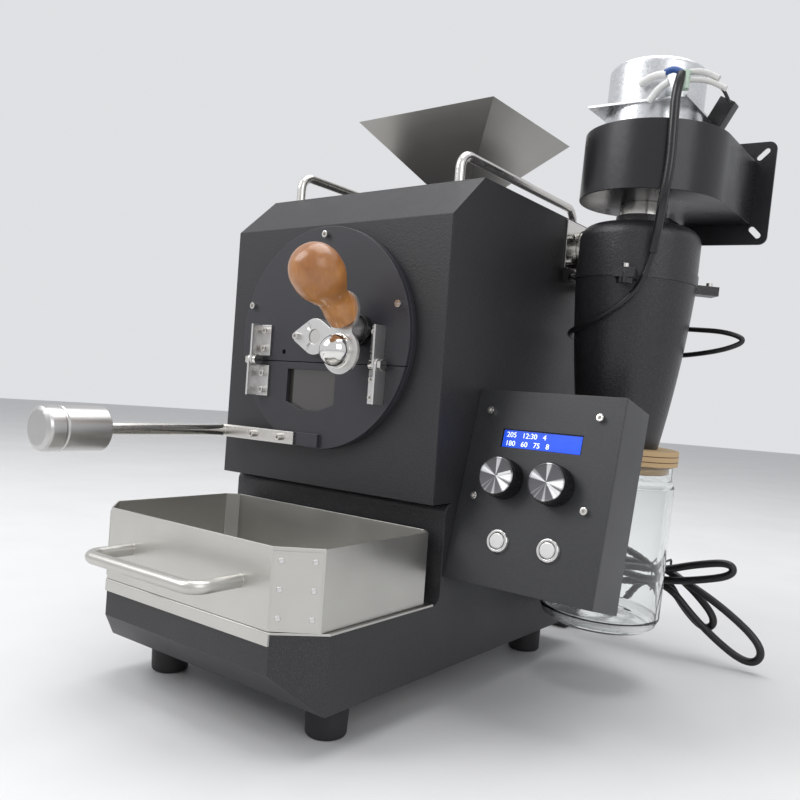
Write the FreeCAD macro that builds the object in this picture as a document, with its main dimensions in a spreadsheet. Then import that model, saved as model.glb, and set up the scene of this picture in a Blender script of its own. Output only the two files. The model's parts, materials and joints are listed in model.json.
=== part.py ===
import FreeCAD, Part
import Sketcher
import math
import os
import re

from FreeCAD import Placement, Rotation, Vector

# Home coffee roaster: a black sheet-metal housing with a rotating drum, a hinged
# discharge door, a cooling tray on a fan deck, a chaff cyclone with a glass jar and
# a blower, and a control box on the right side.
# The housing's front panel is the plane y = 0, x = 0 is its middle and the table is z = 0.
# +Z is up and the front faces -Y.

SIZES = {
    # Sheet metal and general clearances
    "sheet_wall": 1.5,
    "seat_gap": 0.3,
    "running_gap": 0.05,
    # Lower body
    "foot_height": 29,
    "foot_radius": 15.5,
    "foot_side": 86,
    "foot_front": 68,
    "foot_rear": 215,
    "body_height": 127.6,
    "house_half": 115,
    "house_depth": 275,
    "deck_rise": 51.8,
    "base_reach": 130,
    "base_front_half": 87.7,
    "corner_depth": 26.3,
    "bevel_height": 25.6,
    "riser_setback": 18,
    "riser_round": 8,
    "deck_flange": 14,
    "lip_drop": 9,
    # Upper housing
    "front_height": 214.4,
    "chamfer_rise": 36.5,
    "chamfer_depth": 40.5,
    "drum_centre_rise": 120.9,
    # Drum front and door
    "disc_radius": 90,
    "disc_plate": 4,
    "flange_ring": 5,
    "flange_bore": 78,
    "seam_drop": 20.5,
    "seam_gap": 0.6,
    "window_left": 34,
    "window_right": 19,
    "window_top_drop": 6,
    "window_height": 33,
    "window_frame": 2.5,
    "arm_height": 10.6,
    "arm_drop": 83.5,
    # Drum
    "drum_radius": 74,
    "drum_wall": 1.5,
    "drum_front": 3,
    "drum_length": 149,
    "drum_lip": 8,
    "weld_gap": 0.008,
    "vane_depth": 15,
    "vane_count": 4,
    "vane_twist": 70,
    "spoke_width": 12,
    "shaft_radius": 6,
    "jacket_radius": 89.5,
    "jacket_length": 210,
    "heater_radius": 3.5,
    "heater_circle": 81.5,
    # Bearing flanges
    "bearing_radius": 10.5,
    "bearing_flange_radius": 14.6,
    "bearing_flange_thick": 7,
    "bearing_ear_radius": 5,
    "bearing_ear_offset": 18.5,
    # Door hinges
    "hinge_side": 55,
    "hinge_face_width": 12.5,
    "hinge_leaf_height": 30,
    "hinge_sheet": 2,
    "hinge_stand": 13,
    "leaf_relief": 4,
    "pivot_stand": 8,
    "pivot_radius": 2.5,
    "pivot_ear": 5,
    # Door lever
    "strip_height": 10.6,
    "strip_thick": 2,
    "strip_right": 18,
    "strip_left": 112,
    "lever_side": 105,
    "lever_radius": 5,
    "lever_length": 120,
    "weight_radius": 17,
    "weight_length": 51,
    # Sampler
    "sampler_side": 42,
    "sampler_rise": 6,
    "sampler_radius": 9,
    "sampler_inside": 88,
    "sampler_stand": 20,
    "boss_radius": 12.5,
    "boss_thick": 6,
    "spigot_radius": 10.6,
    "plate_thick": 2.5,
    "upper_lobe": 15.5,
    "lower_lobe": 17.5,
    "upper_lobe_rise": 12.5,
    "lower_lobe_drop": 18,
    "plate_waist": 21,
    "knob_radius": 12.3,
    "handle_base": 13,
    "handle_waist": 11,
    "handle_bulb": 21,
    "handle_length": 76,
    "handle_tilt": 44,
    # Cooling deck, fan and tray
    "fan_side": 119,
    "fan_depth": 25,
    "fan_bore": 57,
    "fan_hub": 20,
    "fan_centre": 56,
    "fan_pin": 4,
    "tray_height": 53.5,
    "tray_wall": 1.2,
    "tray_reach": 131.4,
    "tray_back": 11,
    "tray_half": 111.8,
    "tray_front_half": 86.7,
    "tray_corner": 22.1,
    "tray_back_corner": 9,
    "tray_handle_rise": 26.5,
    "tray_handle_half": 58.5,
    "tray_handle_reach": 37,
    "tray_handle_radius": 4.5,
    "tray_handle_bend": 11,
    "screen_thick": 1,
    # Roof handles and hopper
    "grip_radius": 4,
    "grip_side": 87.5,
    "grip_front": 46,
    "grip_length": 207,
    "grip_height": 24,
    "grip_bend": 13,
    "hopper_back": 182,
    "hopper_rim": 152,
    "hopper_neck": 45,
    "hopper_sheet": 1,
    "hopper_neck_height": 33.2,
    "hopper_cone_height": 57.5,
    "socket_wall": 1.5,
    "socket_ledge": 1.5,
    "socket_height": 14,
    "chute_depth": 70,
    # Exhaust, cyclone and blower, a stack that leans from the pipe in the wall
    "pipe_back": 223,
    "pipe_rise": 226.4,
    "pipe_radius": 19,
    "pipe_wall": 1.2,
    "pipe_length": 36,
    "socket_start": 25,
    "stack_lean": 2.4,
    "stack_reach": 68,
    "stack_setback": 34,
    "exhaust_plate_width": 78,
    "exhaust_plate_height": 44,
    "cap_radius": 50.5,
    "cap_wall": 2.5,
    "seam_below_pipe": 34.5,
    "cap_band": 8.7,
    "cap_side": 26,
    "cap_round": 13,
    "collar_radius": 22,
    "collar_height": 9,
    "cone_length": 140,
    "cone_low_radius": 34,
    "cone_bulge": 2.2,
    "lug_reach": 20,
    "lug_width": 16,
    "outlet_radius": 20,
    "blower_rise": 33.5,
    "scroll_height": 55.7,
    "scroll_sheet": 1.2,
    "scroll_left": 54.5,
    "scroll_right": 66,
    "scroll_back": 50.5,
    "outlet_left": 5,
    "outlet_back": 87,
    "blower_flange": 92,
    "blower_flange_sheet": 2,
    "blower_slot_pitch": 70,
    "can_radius": 40.2,
    "can_low": 19,
    "can_high": 38,
    "can_round": 6,
    "motor_plate": 84,
    "motor_plate_sheet": 2,
    "impeller_radius": 38,
    "impeller_height": 38,
    "impeller_blades": 16,
    # Jar
    "lid_radius": 52,
    "lid_height": 13,
    "lid_plug_radius": 43.5,
    "lid_plug_height": 8,
    "jar_radius": 51.5,
    "jar_wall": 2.5,
    "jar_height": 142,
    "jar_neck_radius": 48.5,
    "jar_neck_height": 12,
    # Control box
    "control_width": 119.5,
    "control_height": 148,
    "control_thick": 46,
    "control_tilt": 14.05,
    "control_front": 20.3,
    "control_low": 101.4,
    "lcd_width": 65.7,
    "lcd_height": 14.3,
    "lcd_side": 59.3,
    "lcd_rise": 110.8,
    "dial_radius": 15,
    "dial_height": 15,
    "dial_stand": 0.8,
    "dial_left": 37,
    "dial_right": 77.5,
    "dial_rise": 79.3,
    "dial_shaft": 3,
    "button_radius": 6,
    "button_ring": 9.2,
    "button_left": 40.4,
    "button_right": 81,
    "button_rise": 33.8,
    "button_stand": 2.5,
    # Drum motor
    "motor_radius": 30,
    "motor_length": 36,
    "motor_gap": 15,
    "shaft_grip": 10,
    # Screws
    "screw_head": 2.75,
    "screw_head_height": 3.5,
    "screw_socket": 1.25,
    # Cables
    "lead_radius": 2.2,
    "sleeve_radius": 3.8,
    "mains_radius": 3.6,
}

FLOOR = "foot_height"
DECK = "(foot_height + deck_rise)"
HOUSE = "(foot_height + body_height)"
FRONT_TOP = f"({HOUSE} + front_height)"
ROOF = f"({FRONT_TOP} + chamfer_rise)"
AXIS = f"({HOUSE} + drum_centre_rise)"
SEAM = f"({AXIS} - seam_drop)"
RING_FACE = "(-flange_ring)"
DISC_BACK = "(-flange_ring - seat_gap)"
DISC_FACE = "(-flange_ring - disc_plate)"
PIVOT_Y = f"({DISC_FACE} - pivot_stand)"
SAMPLER_Z = f"({AXIS} + sampler_rise)"
TRAY_LOW = f"({DECK} + sheet_wall + seat_gap)"
PIPE_Z = f"({HOUSE} + pipe_rise)"
BULKHEAD_BACK = "(jacket_length + sheet_wall * 2)"
MOTOR_FRONT = f"({BULKHEAD_BACK} + bearing_flange_thick + motor_gap)"

doc = FreeCAD.newDocument("coffee_roaster")
sheet = doc.addObject("Spreadsheet::Sheet", "Sizes")
for row, (name, size) in enumerate(SIZES.items(), start=1):
    sheet.set(f"A{row}", name)
    sheet.set(f"B{row}", str(size))
    sheet.setAlias(f"B{row}", name)
doc.recompute()

NODES = {}


def named(formula):
    """Point every size's name in a formula at the spreadsheet."""
    return re.sub(r"[a-z]\w*", lambda m: "Sizes." + m[0] if m[0] in SIZES else m[0], str(formula))


def value(formula):
    """Work a formula out to a plain number."""
    return float(sheet.evalExpression(re.sub(r"Sizes\.", "", named(formula))))


def bind(item, **formulas):
    """Tie properties of an object to formulas."""
    for path, formula in formulas.items():
        item.setExpression(path, named(formula))


def put(item, x=0, y=0, z=0, axis=(0, 0, 1), angle=0):
    """Place an object at a formula point, turned about an axis by degrees or by a formula."""
    start = angle if isinstance(angle, (int, float)) else value(angle)
    item.Placement = Placement(Vector(), Rotation(Vector(*axis), start))
    for side, formula in zip("xyz", (x, y, z)):
        item.setExpression("Placement.Base." + side, named(formula))
    if not isinstance(angle, (int, float)):
        item.setExpression("Placement.Rotation.Angle", named(angle))
    return item


def box(name, x, y, z, length, width, height):
    item = doc.addObject("Part::Box", name)
    bind(item, Length=length, Width=width, Height=height)
    return put(item, x, y, z)


TURNS = {"Z": ((0, 0, 1), 0), "X": ((0, 1, 0), 90), "Y": ((1, 0, 0), -90), "-Y": ((1, 0, 0), 90)}


def rod(name, radius, length, x=0, y=0, z=0, along="Z"):
    item = doc.addObject("Part::Cylinder", name)
    bind(item, Radius=radius, Height=length)
    axis, angle = TURNS[along]
    return put(item, x, y, z, axis, angle)


def cone(name, radius_low, radius_high, length, x=0, y=0, z=0, along="Z"):
    item = doc.addObject("Part::Cone", name)
    bind(item, Radius1=radius_low, Radius2=radius_high, Height=length)
    axis, angle = TURNS[along]
    return put(item, x, y, z, axis, angle)


def ball(name, radius, x, y, z):
    item = doc.addObject("Part::Sphere", name)
    bind(item, Radius=radius)
    return put(item, x, y, z)


def cut(name, base, *tools):
    item = doc.addObject("Part::Cut", name)
    item.Base = base
    item.Tool = tools[0] if len(tools) == 1 else group(name + "_tools", *tools)
    return item


def fuse(name, *pieces):
    item = doc.addObject("Part::MultiFuse", name)
    item.Shapes = list(pieces)
    item.Refine = True
    return item


def common(name, first, second):
    item = doc.addObject("Part::MultiCommon", name)
    item.Shapes = [first, second]
    return item


def group(name, *pieces):
    item = doc.addObject("Part::Compound", name)
    item.Links = list(pieces)
    return item


def again(source, name, x=0, y=0, z=0, axis=(0, 0, 1), angle=0):
    """A second copy of an object in another place."""
    item = doc.addObject("App::Link", name)
    item.LinkedObject = source
    item.LinkTransform = True
    return put(item, x, y, z, axis, angle)


def mirrored(source, name):
    """The same piece on the other side of the plane x = 0."""
    item = doc.addObject("Part::Mirroring", name)
    item.Source = source
    item.Normal = Vector(1, 0, 0)
    return item


def tube(name, outer, inner, length, x=0, y=0, z=0, along="Z"):
    """A straight pipe, open at both ends."""
    return cut(name, rod(name + "_outside", outer, length, x, y, z, along),
               rod(name + "_inside", inner, length, x, y, z, along))


def outline(body, plane, corners, offset=0):
    """A closed sketch of straight lines on one of a body's own planes, every corner bound."""
    sketch = body.newObject("Sketcher::SketchObject", body.Name + "_outline")
    support = [item for item in body.Origin.OriginFeatures if item.Role == plane + "_Plane"][0]
    sketch.AttachmentSupport = (support, "")
    sketch.MapMode = "FlatFace"
    sketch.setExpression("AttachmentOffset.Base.z", named(offset))
    points = [Vector(value(across), value(up), 0) for across, up in corners]
    last = len(points)
    for index in range(last):
        sketch.addGeometry(Part.LineSegment(points[index], points[(index + 1) % last]))
    for index in range(last):
        sketch.addConstraint(Sketcher.Constraint("Coincident", index, 2, (index + 1) % last, 1))
    for index, (across, up) in enumerate(corners):
        for kind, formula in (("DistanceX", across), ("DistanceY", up)):
            rule = Sketcher.Constraint(kind, -1, 1, index, 1, value(formula))
            number = sketch.addConstraint(rule)
            sketch.setExpression(f"Constraints[{number}]", named(formula))
    return sketch


def plate(name, plane, corners, thick, offset=0, both=False):
    """A padded outline. XY grows up, XZ grows forward (-Y) and YZ grows right (+X)."""
    body = doc.addObject("PartDesign::Body", name)
    pad = body.newObject("PartDesign::Pad", name + "_pad")
    pad.Profile = outline(body, plane, corners, offset)
    pad.setExpression("Length", named(thick))
    if both:
        pad.Midplane = True
    body.Tip = pad
    return body


def turned(name, corners, x=0, y=0, z=0, axis=(0, 0, 1), angle=0):
    """A solid of revolution: corners are (radius, height) about the piece's own Z axis."""
    body = doc.addObject("PartDesign::Body", name)
    sketch = outline(body, "XZ", corners)
    turn = body.newObject("PartDesign::Revolution", name + "_turn")
    turn.Profile = sketch
    turn.ReferenceAxis = (sketch, ["V_Axis"])
    turn.Angle = 360
    body.Tip = turn
    return put(body, x, y, z, axis, angle)


def rounded(name, base, radius, wanted):
    """Round the edges of a shape whose middle point passes a test."""
    doc.recompute()
    item = doc.addObject("Part::Fillet", name)
    item.Base = base
    size = value(radius)
    edges = [index for index, edge in enumerate(base.Shape.Edges, start=1)
             if wanted(edge, edge.valueAt((edge.FirstParameter + edge.LastParameter) / 2))]
    if not edges:
        raise RuntimeError("no edge to round on " + base.Name)
    item.Edges = [(index, size, size) for index in edges]
    return item


def along_axis(edge, direction):
    """True for a straight edge that runs along a direction."""
    if edge.Curve.TypeId != "Part::GeomLine":
        return False
    return abs(abs(edge.Curve.Direction.dot(direction)) - 1) < 1e-6


def keep(label, item):
    """Name a finished sub-part, which becomes one node."""
    item.Label = label
    NODES[label] = item
    return item


def solid_of(label, shape):
    """A sub-part whose shape was made with Part's own functions."""
    item = doc.addObject("Part::Feature", label + "_shape")
    item.Shape = shape
    return item


# Lower body: base shell, floor, feet, deck

def bent_twice(name, side, inset):
    """A side profile across the whole width, with its riser's two bends rounded."""
    block = plate(name, "YZ", side, "house_half * 2", both=True)

    def at_rise(level):
        def test(edge, middle):
            riser = abs(middle.y - value(f"riser_setback + {inset}")) < 0.01
            return along_axis(edge, Vector(1, 0, 0)) and riser and abs(middle.z - value(f"{level} - {inset}")) < 0.01
        return test

    low = rounded(name + "_low", block, f"riser_round + {inset}", at_rise(DECK))
    return rounded(name + "_high", low, f"riser_round - {inset}", at_rise(HOUSE))


def lower_body():
    run = "(house_half - base_front_half)"
    corner = f"sqrt({run}^2 + corner_depth^2)"
    flat = "(base_reach - corner_depth)"
    bevel = "sqrt(corner_depth^2 + bevel_height^2)"
    side = [("-base_reach", f"{FLOOR} + bevel_height"), ("-base_reach", DECK), ("riser_setback", DECK),
            ("riser_setback", HOUSE), ("house_depth", HOUSE), ("house_depth", FLOOR), (f"-{flat}", FLOOR)]
    inner_front = "(sheet_wall - base_reach)"
    inner_side = [(inner_front, f"{FLOOR} + bevel_height + sheet_wall * ({bevel} - bevel_height) / corner_depth"),
                  (inner_front, f"{DECK} - sheet_wall"),
                  ("riser_setback + sheet_wall", f"{DECK} - sheet_wall"),
                  ("riser_setback + sheet_wall", f"{HOUSE} - sheet_wall"),
                  ("house_depth - sheet_wall", f"{HOUSE} - sheet_wall"),
                  ("house_depth - sheet_wall", FLOOR), (f"sheet_wall * {bevel} / bevel_height - {flat}", FLOOR)]
    plan = [("house_half", "house_depth"), ("-house_half", "house_depth"), ("-house_half", f"-{flat}"),
            ("-base_front_half", "-base_reach"), ("base_front_half", "-base_reach"), ("house_half", f"-{flat}")]
    inner_half = "(house_half - sheet_wall)"
    inner_corner = f"(sheet_wall * ({corner} - corner_depth) / {run} - {flat})"
    inner_edge = f"(base_front_half - sheet_wall * ({corner} - {run}) / corner_depth)"
    inner_plan = [(inner_half, "house_depth"), (f"-{inner_half}", "house_depth"), (f"-{inner_half}", inner_corner),
                  (f"-{inner_edge}", inner_front), (inner_edge, inner_front), (inner_half, inner_corner)]
    outside = common("base_outside", bent_twice("base_side", side, "0"), plate("base_plan", "XY", plan, f"{HOUSE}"))
    inside = common("base_inside", bent_twice("base_side_in", inner_side, "sheet_wall"),
                    plate("base_plan_in", "XY", inner_plan, f"{HOUSE}"))
    opening = box("deck_opening", "deck_flange - base_front_half", "deck_flange - base_reach",
                  f"{DECK} - sheet_wall - 1", "(base_front_half - deck_flange) * 2",
                  "base_reach + riser_setback - deck_flange * 2", "sheet_wall + 2")
    gland = rod("gland_hole", "mains_radius + 2.4", "sheet_wall + 2", "house_half - 15", "house_depth + 1",
                f"{FLOOR} + 45", "-Y")
    keep("base_shell", cut("base_hollow", outside, inside, opening, gland))

    floor = box("floor_sheet", "sheet_wall + seat_gap - house_half", f"sheet_wall * 2.5 - {flat}", FLOOR,
                "(house_half - sheet_wall - seat_gap) * 2", f"house_depth + {flat} - sheet_wall * 3.5 - seat_gap",
                "sheet_wall")
    slots = [box(f"floor_slot{index}", f"{index} * 12 - 51", "-fan_centre - 34", f"{FLOOR} - 1", 6, 68,
                 "sheet_wall + 2") for index in range(9)]
    keep("base_floor", cut("floor_vented", floor, *slots))

    foot = turned("foot", [(0, 3), (4.5, 3), (4.5, 0), ("foot_radius - 2.5", 0), ("foot_radius - 1", 1.5),
                           ("foot_radius", "foot_height"), (0, "foot_height")])
    spots = [(side, back) for side in ("-foot_side", "foot_side") for back in ("-foot_front", "foot_rear")]
    feet = [again(foot, f"foot{index}", *spot) for index, spot in enumerate(spots)]
    keep("rubber_feet", group("feet", *feet))


def cooling_deck():
    flat = "(base_reach - corner_depth)"
    back = "(riser_setback - riser_round)"
    plan = [("house_half", back), ("-house_half", back),
            ("-house_half", f"-{flat}"), ("-base_front_half", "-base_reach - sheet_wall"),
            ("base_front_half", "-base_reach - sheet_wall"), ("house_half", f"-{flat}")]
    top = plate("deck_plan", "XY", plan, "sheet_wall", DECK)
    lip = box("deck_lip", "-base_front_half", "-base_reach - sheet_wall", f"{DECK} + sheet_wall - lip_drop",
              "base_front_half * 2", "sheet_wall", "lip_drop")
    rings = []
    for index, share in enumerate((0.32, 0.5, 0.68, 0.86)):
        rings.append(tube(f"deck_ring{index}", f"fan_bore * {share} + 3", f"fan_bore * {share} - 3",
                          "sheet_wall + 2", 0, "-fan_centre", f"{DECK} - 1"))
    bars = fuse("deck_bars",
                box("deck_bar_long", "-4", "-fan_centre - fan_bore", DECK, 8, "fan_bore * 2", "sheet_wall"),
                box("deck_bar_wide", "-fan_bore", "-fan_centre - 4", DECK, "fan_bore * 2", 8, "sheet_wall"))
    deck = cut("deck_ringed", fuse("deck_bent", top, lip), *rings)
    bent = fuse("deck_barred", deck, bars)

    def crease(edge, middle):
        outer = abs(middle.y + value("base_reach + sheet_wall")) < 0.01
        return along_axis(edge, Vector(1, 0, 0)) and outer and middle.z > value(DECK)

    keep("cooling_deck", rounded("deck_round", bent, "sheet_wall * 0.8", crease))

    half = "fan_side / 2"
    low = f"({DECK} - fan_depth)"
    frame = box("fan_block", f"-{half}", f"-fan_centre - {half}", low, "fan_side", "fan_side", "fan_depth - seat_gap")
    bore = rod("fan_bore_cut", "fan_bore", "fan_depth + 2", 0, "-fan_centre", f"{low} - 1")
    arms = [box("fan_arm_long", -3, "-fan_centre - fan_bore - 1", low, 6, "fan_bore * 2 + 2", 4),
            box("fan_arm_wide", "-fan_bore - 1", "-fan_centre - 3", low, "fan_bore * 2 + 2", 6, 4)]
    hub = rod("fan_seat", "fan_hub - 2", 4, 0, "-fan_centre", low)
    pin = rod("fan_axle", "fan_pin", 16, 0, "-fan_centre", low)
    keep("cooling_fan_frame", fuse("fan_frame", cut("fan_ring", frame, bore), *arms, hub, pin))

    wheel_low = f"({low} + 4 + seat_gap)"
    cup = rod("fan_cup", "fan_hub", 15, 0, "-fan_centre", wheel_low)
    blades = []
    for index in range(7):
        blade = box(f"fan_blade{index}_flat", "fan_hub - 2", -1, -9, "fan_bore - fan_hub", 2, 18)
        blade.Placement = Placement(Vector(), Rotation(Vector(1, 0, 0), 52))
        bind(blade, **{"Placement.Base.x": "fan_hub - 2"})
        inside = rod(f"fan_blade{index}_limit", "fan_bore - 1.5", 14, 0, 0, -7)
        blades.append(again(common(f"fan_blade{index}", blade, inside), f"fan_blade{index}_set", 0,
                            "-fan_centre", f"{wheel_low} + 7.5", (0, 0, 1), index * 360 / 7))
    axle_bore = rod("fan_axle_bore", "fan_pin + running_gap", 13, 0, "-fan_centre", wheel_low)
    keep("cooling_fan_rotor", cut("fan_wheel", fuse("fan_bladed", cup, *blades), axle_bore))


# Upper housing: front panel, wrapper, rear cover, roof handles

def upper_housing():
    slope = "sqrt(1 + (chamfer_rise / chamfer_depth)^2)"
    outer = [(0, FRONT_TOP), ("chamfer_depth", ROOF), ("house_depth", ROOF), ("house_depth", HOUSE),
             ("sheet_wall", HOUSE), ("sheet_wall", FRONT_TOP)]
    inner = [(0, f"{FRONT_TOP} - sheet_wall * {slope}"),
             (f"chamfer_depth * (1 + sheet_wall * ({slope} - 1) / chamfer_rise)", f"{ROOF} - sheet_wall"),
             ("house_depth + 1", f"{ROOF} - sheet_wall"), ("house_depth + 1", f"{HOUSE} + sheet_wall"),
             (0, f"{HOUSE} + sheet_wall")]
    outside = plate("wrapper_out", "YZ", outer, "house_half * 2", both=True)
    inside = plate("wrapper_in", "YZ", inner, "(house_half - sheet_wall) * 2", both=True)
    feed = box("feed_hole", "-hopper_neck / 2 - socket_wall - seat_gap",
               "hopper_back - hopper_neck / 2 - socket_wall - seat_gap", f"{ROOF} - 3",
               "hopper_neck + (socket_wall + seat_gap) * 2", "hopper_neck + (socket_wall + seat_gap) * 2", 6)
    exhaust = rod("exhaust_hole", "pipe_radius + 1.5", 6, "house_half - 4", "pipe_back", PIPE_Z, "X")
    lead = rod("lead_hole", "lead_radius + 0.6", 6, "house_half - 4", 191, 356, "X")
    keep("upper_housing", cut("wrapper", outside, inside, feed, exhaust, lead))

    front = box("front_sheet", "-house_half", 0, HOUSE, "house_half * 2", "sheet_wall", "front_height")
    mouth = rod("drum_mouth", "flange_bore", 6, 0, -2, AXIS, "Y")
    keep("front_panel", cut("front_panel_cut", front, mouth))

    rear = box("rear_sheet", "-house_half", "house_depth", HOUSE, "house_half * 2", "sheet_wall",
               f"{ROOF} - {HOUSE}")
    vents = [box(f"rear_vent{column}_{row}", f"{column} * 70 - 95", "house_depth - 1", f"{HOUSE} + 36 + {row} * 12",
                 50, "sheet_wall + 2", 4) for column in range(3) for row in range(5)]
    keep("rear_cover", cut("rear_vented", rear, *vents))

    grip = fuse("grip",
                rod("grip_leg_front", "grip_radius", "grip_height - grip_bend", 0, 0, 0),
                bend("grip_corner_front", "grip_bend", "grip_radius", 0, "grip_bend", "grip_height - grip_bend", 1),
                rod("grip_bar", "grip_radius", "grip_length - grip_bend * 2", 0, "grip_bend", "grip_height", "Y"),
                bend("grip_corner_rear", "grip_bend", "grip_radius", 0, "grip_length - grip_bend",
                     "grip_height - grip_bend", 0),
                rod("grip_leg_rear", "grip_radius", "grip_height - grip_bend", 0, "grip_length", 0))
    pair = [again(grip, "grip_left", "-grip_side", "grip_front", ROOF),
            again(grip, "grip_right", "grip_side", "grip_front", ROOF)]
    keep("roof_handles", group("roof_handle_pair", *pair))


def bend(name, bend_radius, radius, x, y, z, side):
    """A quarter of a ring in the plane x = const. side 1 joins the leg in front, 0 the leg behind."""
    item = doc.addObject("Part::Torus", name)
    bind(item, Radius1=bend_radius, Radius2=radius)
    item.Angle3 = 90
    turn = Rotation(Vector(0, 1, 0), -90) if side == 0 else Rotation(Vector(0, 1, 0), -90)
    if side == 1:
        turn = Rotation(Vector(1, 0, 0), 90).multiply(turn)
    put(item, x, y, z)
    item.Placement = Placement(item.Placement.Base, turn)
    for part, formula in zip("xyz", (x, y, z)):
        item.setExpression("Placement.Base." + part, named(formula))
    return item


# Drum front: flange ring, fixed face plate, bearings, hinges, door

def drum_front():
    ring = tube("mouth_ring", "disc_radius", "flange_bore", "flange_ring", 0, RING_FACE, AXIS, "Y")
    keep("chamber_flange", ring)

    disc = rod("face_disc", "disc_radius", "disc_plate - seat_gap", 0, DISC_FACE, AXIS, "Y")
    below = box("below_seam", "-disc_radius - 1", f"{DISC_FACE} - 1", f"{SEAM} + seam_gap / 2 - disc_radius * 2",
                "disc_radius * 2 + 2", "disc_plate + 2", "disc_radius * 2")
    bearing_hole = rod("bearing_hole", "shaft_radius + 2", "disc_plate + 2", 0, f"{DISC_FACE} - 1", AXIS, "Y")
    sampler_hole = rod("sampler_hole", "spigot_radius + running_gap", "disc_plate + 2", "sampler_side",
                       f"{DISC_FACE} - 1", SAMPLER_Z, "Y")
    probe_hole = rod("probe_hole", 2, "disc_plate + 2", "-40", f"{DISC_FACE} - 1", f"{SEAM} + 8", "Y")
    keep("face_plate", cut("face_plate_cut", disc, below, bearing_hole, sampler_hole, probe_hole))

    share = "((bearing_flange_radius - bearing_ear_radius) / bearing_ear_offset)"
    rise = f"sqrt(1 - {share}^2)"
    tangent = [(f"bearing_flange_radius * {share}", f"bearing_flange_radius * {rise}"),
               (f"bearing_ear_offset + bearing_ear_radius * {share}", f"bearing_ear_radius * {rise}")]
    corners = tangent + [(x, f"-({y})") for x, y in reversed(tangent)]
    corners += [(f"-({x})", f"-({y})") for x, y in tangent] + [(f"-({x})", y) for x, y in reversed(tangent)]
    body = plate("bearing_web", "XZ", corners, "bearing_flange_thick", 0)
    ears = [rod(f"bearing_ear{side}", "bearing_ear_radius", "bearing_flange_thick",
                f"{side} * bearing_ear_offset", 0, 0, "-Y") for side in (-1, 1)]
    middle = rod("bearing_middle", "bearing_flange_radius", "bearing_flange_thick", 0, 0, 0, "-Y")
    bore = rod("bearing_bore", "bearing_radius", "bearing_flange_thick + 2", 0, 1, 0, "-Y")
    flange = cut("bearing_flange", fuse("bearing_solid", body, *ears, middle), bore)
    places = [("front", DISC_FACE, 0), ("rear", f"{BULKHEAD_BACK} + bearing_flange_thick", 0)]
    flanges = [again(flange, f"bearing_flange_{end}", 0, y, AXIS) for end, y, turn in places]
    insert = tube("bearing_insert", "bearing_radius", "shaft_radius + running_gap", "bearing_flange_thick", 0, 0, 0,
                  "-Y")
    inserts = [again(insert, f"bearing_{end}", 0, y, AXIS) for end, y, turn in places]
    keep("drum_bearings", group("bearing_set", *flanges, *inserts))


def hinge_leaf(name, top, outer):
    """One angle bracket. outer is how far its standing flange is shifted outwards."""
    tall = "(hinge_leaf_height - leaf_relief)"
    low = f"({SEAM} + leaf_relief)" if top else f"({SEAM} - hinge_leaf_height)"
    edge = f"(hinge_side + hinge_face_width - hinge_sheet + {outer})"
    face = box(name + "_face", "hinge_side", f"{DISC_FACE} - hinge_sheet", low, f"hinge_face_width + {outer}",
               "hinge_sheet", tall)
    stand = box(name + "_stand", edge, f"{DISC_FACE} - hinge_stand", low, "hinge_sheet", "hinge_stand", tall)
    arm_low = SEAM if top else f"({SEAM} - pivot_ear - leaf_relief)"
    arm = box(name + "_arm", edge, f"{PIVOT_Y} - pivot_ear", arm_low, "hinge_sheet", "pivot_ear * 2",
              "pivot_ear + leaf_relief")
    ear = rod(name + "_ear", "pivot_ear", "hinge_sheet", edge, PIVOT_Y, SEAM, "X")
    hole = rod(name + "_hole", "pivot_radius + running_gap", "hinge_sheet + 2", f"{edge} - 1", PIVOT_Y, SEAM, "X")
    return cut(name, fuse(name + "_bent", face, stand, arm, ear), hole)


def hinges():
    upper = hinge_leaf("upper_leaf", True, "0")
    lower = hinge_leaf("lower_leaf", False, "hinge_sheet + seat_gap")
    keep("upper_hinge_leaves", group("upper_leaves", upper, mirrored(upper, "upper_leaf_left")))
    keep("lower_hinge_leaves", group("lower_leaves", lower, mirrored(lower, "lower_leaf_left")))
    inner = "(hinge_side + hinge_face_width - hinge_sheet)"
    width = "(hinge_sheet * 2 + seat_gap)"
    pin = rod("pivot_shank", "pivot_radius", f"{width} + 6", f"{inner} - 3", PIVOT_Y, SEAM, "X")
    head = rod("pivot_head", "pivot_radius + 2", 3.4, f"{inner} - 3.4 - seat_gap", PIVOT_Y, SEAM, "X")
    nut = prism("pivot_nut", 6, "pivot_radius + 2", 3.4, f"{inner} + {width} + seat_gap", PIVOT_Y, SEAM)
    bolt = fuse("pivot_bolt", pin, head, nut)
    return [bolt, mirrored(bolt, "pivot_bolt_left")]


def prism(name, sides, radius, length, x, y, z, along="X"):
    """A regular prism, such as a nut."""
    item = doc.addObject("Part::Prism", name)
    item.Polygon = sides
    bind(item, Circumradius=radius, Height=length)
    axis, angle = TURNS[along]
    return put(item, x, y, z, axis, angle)


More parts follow.
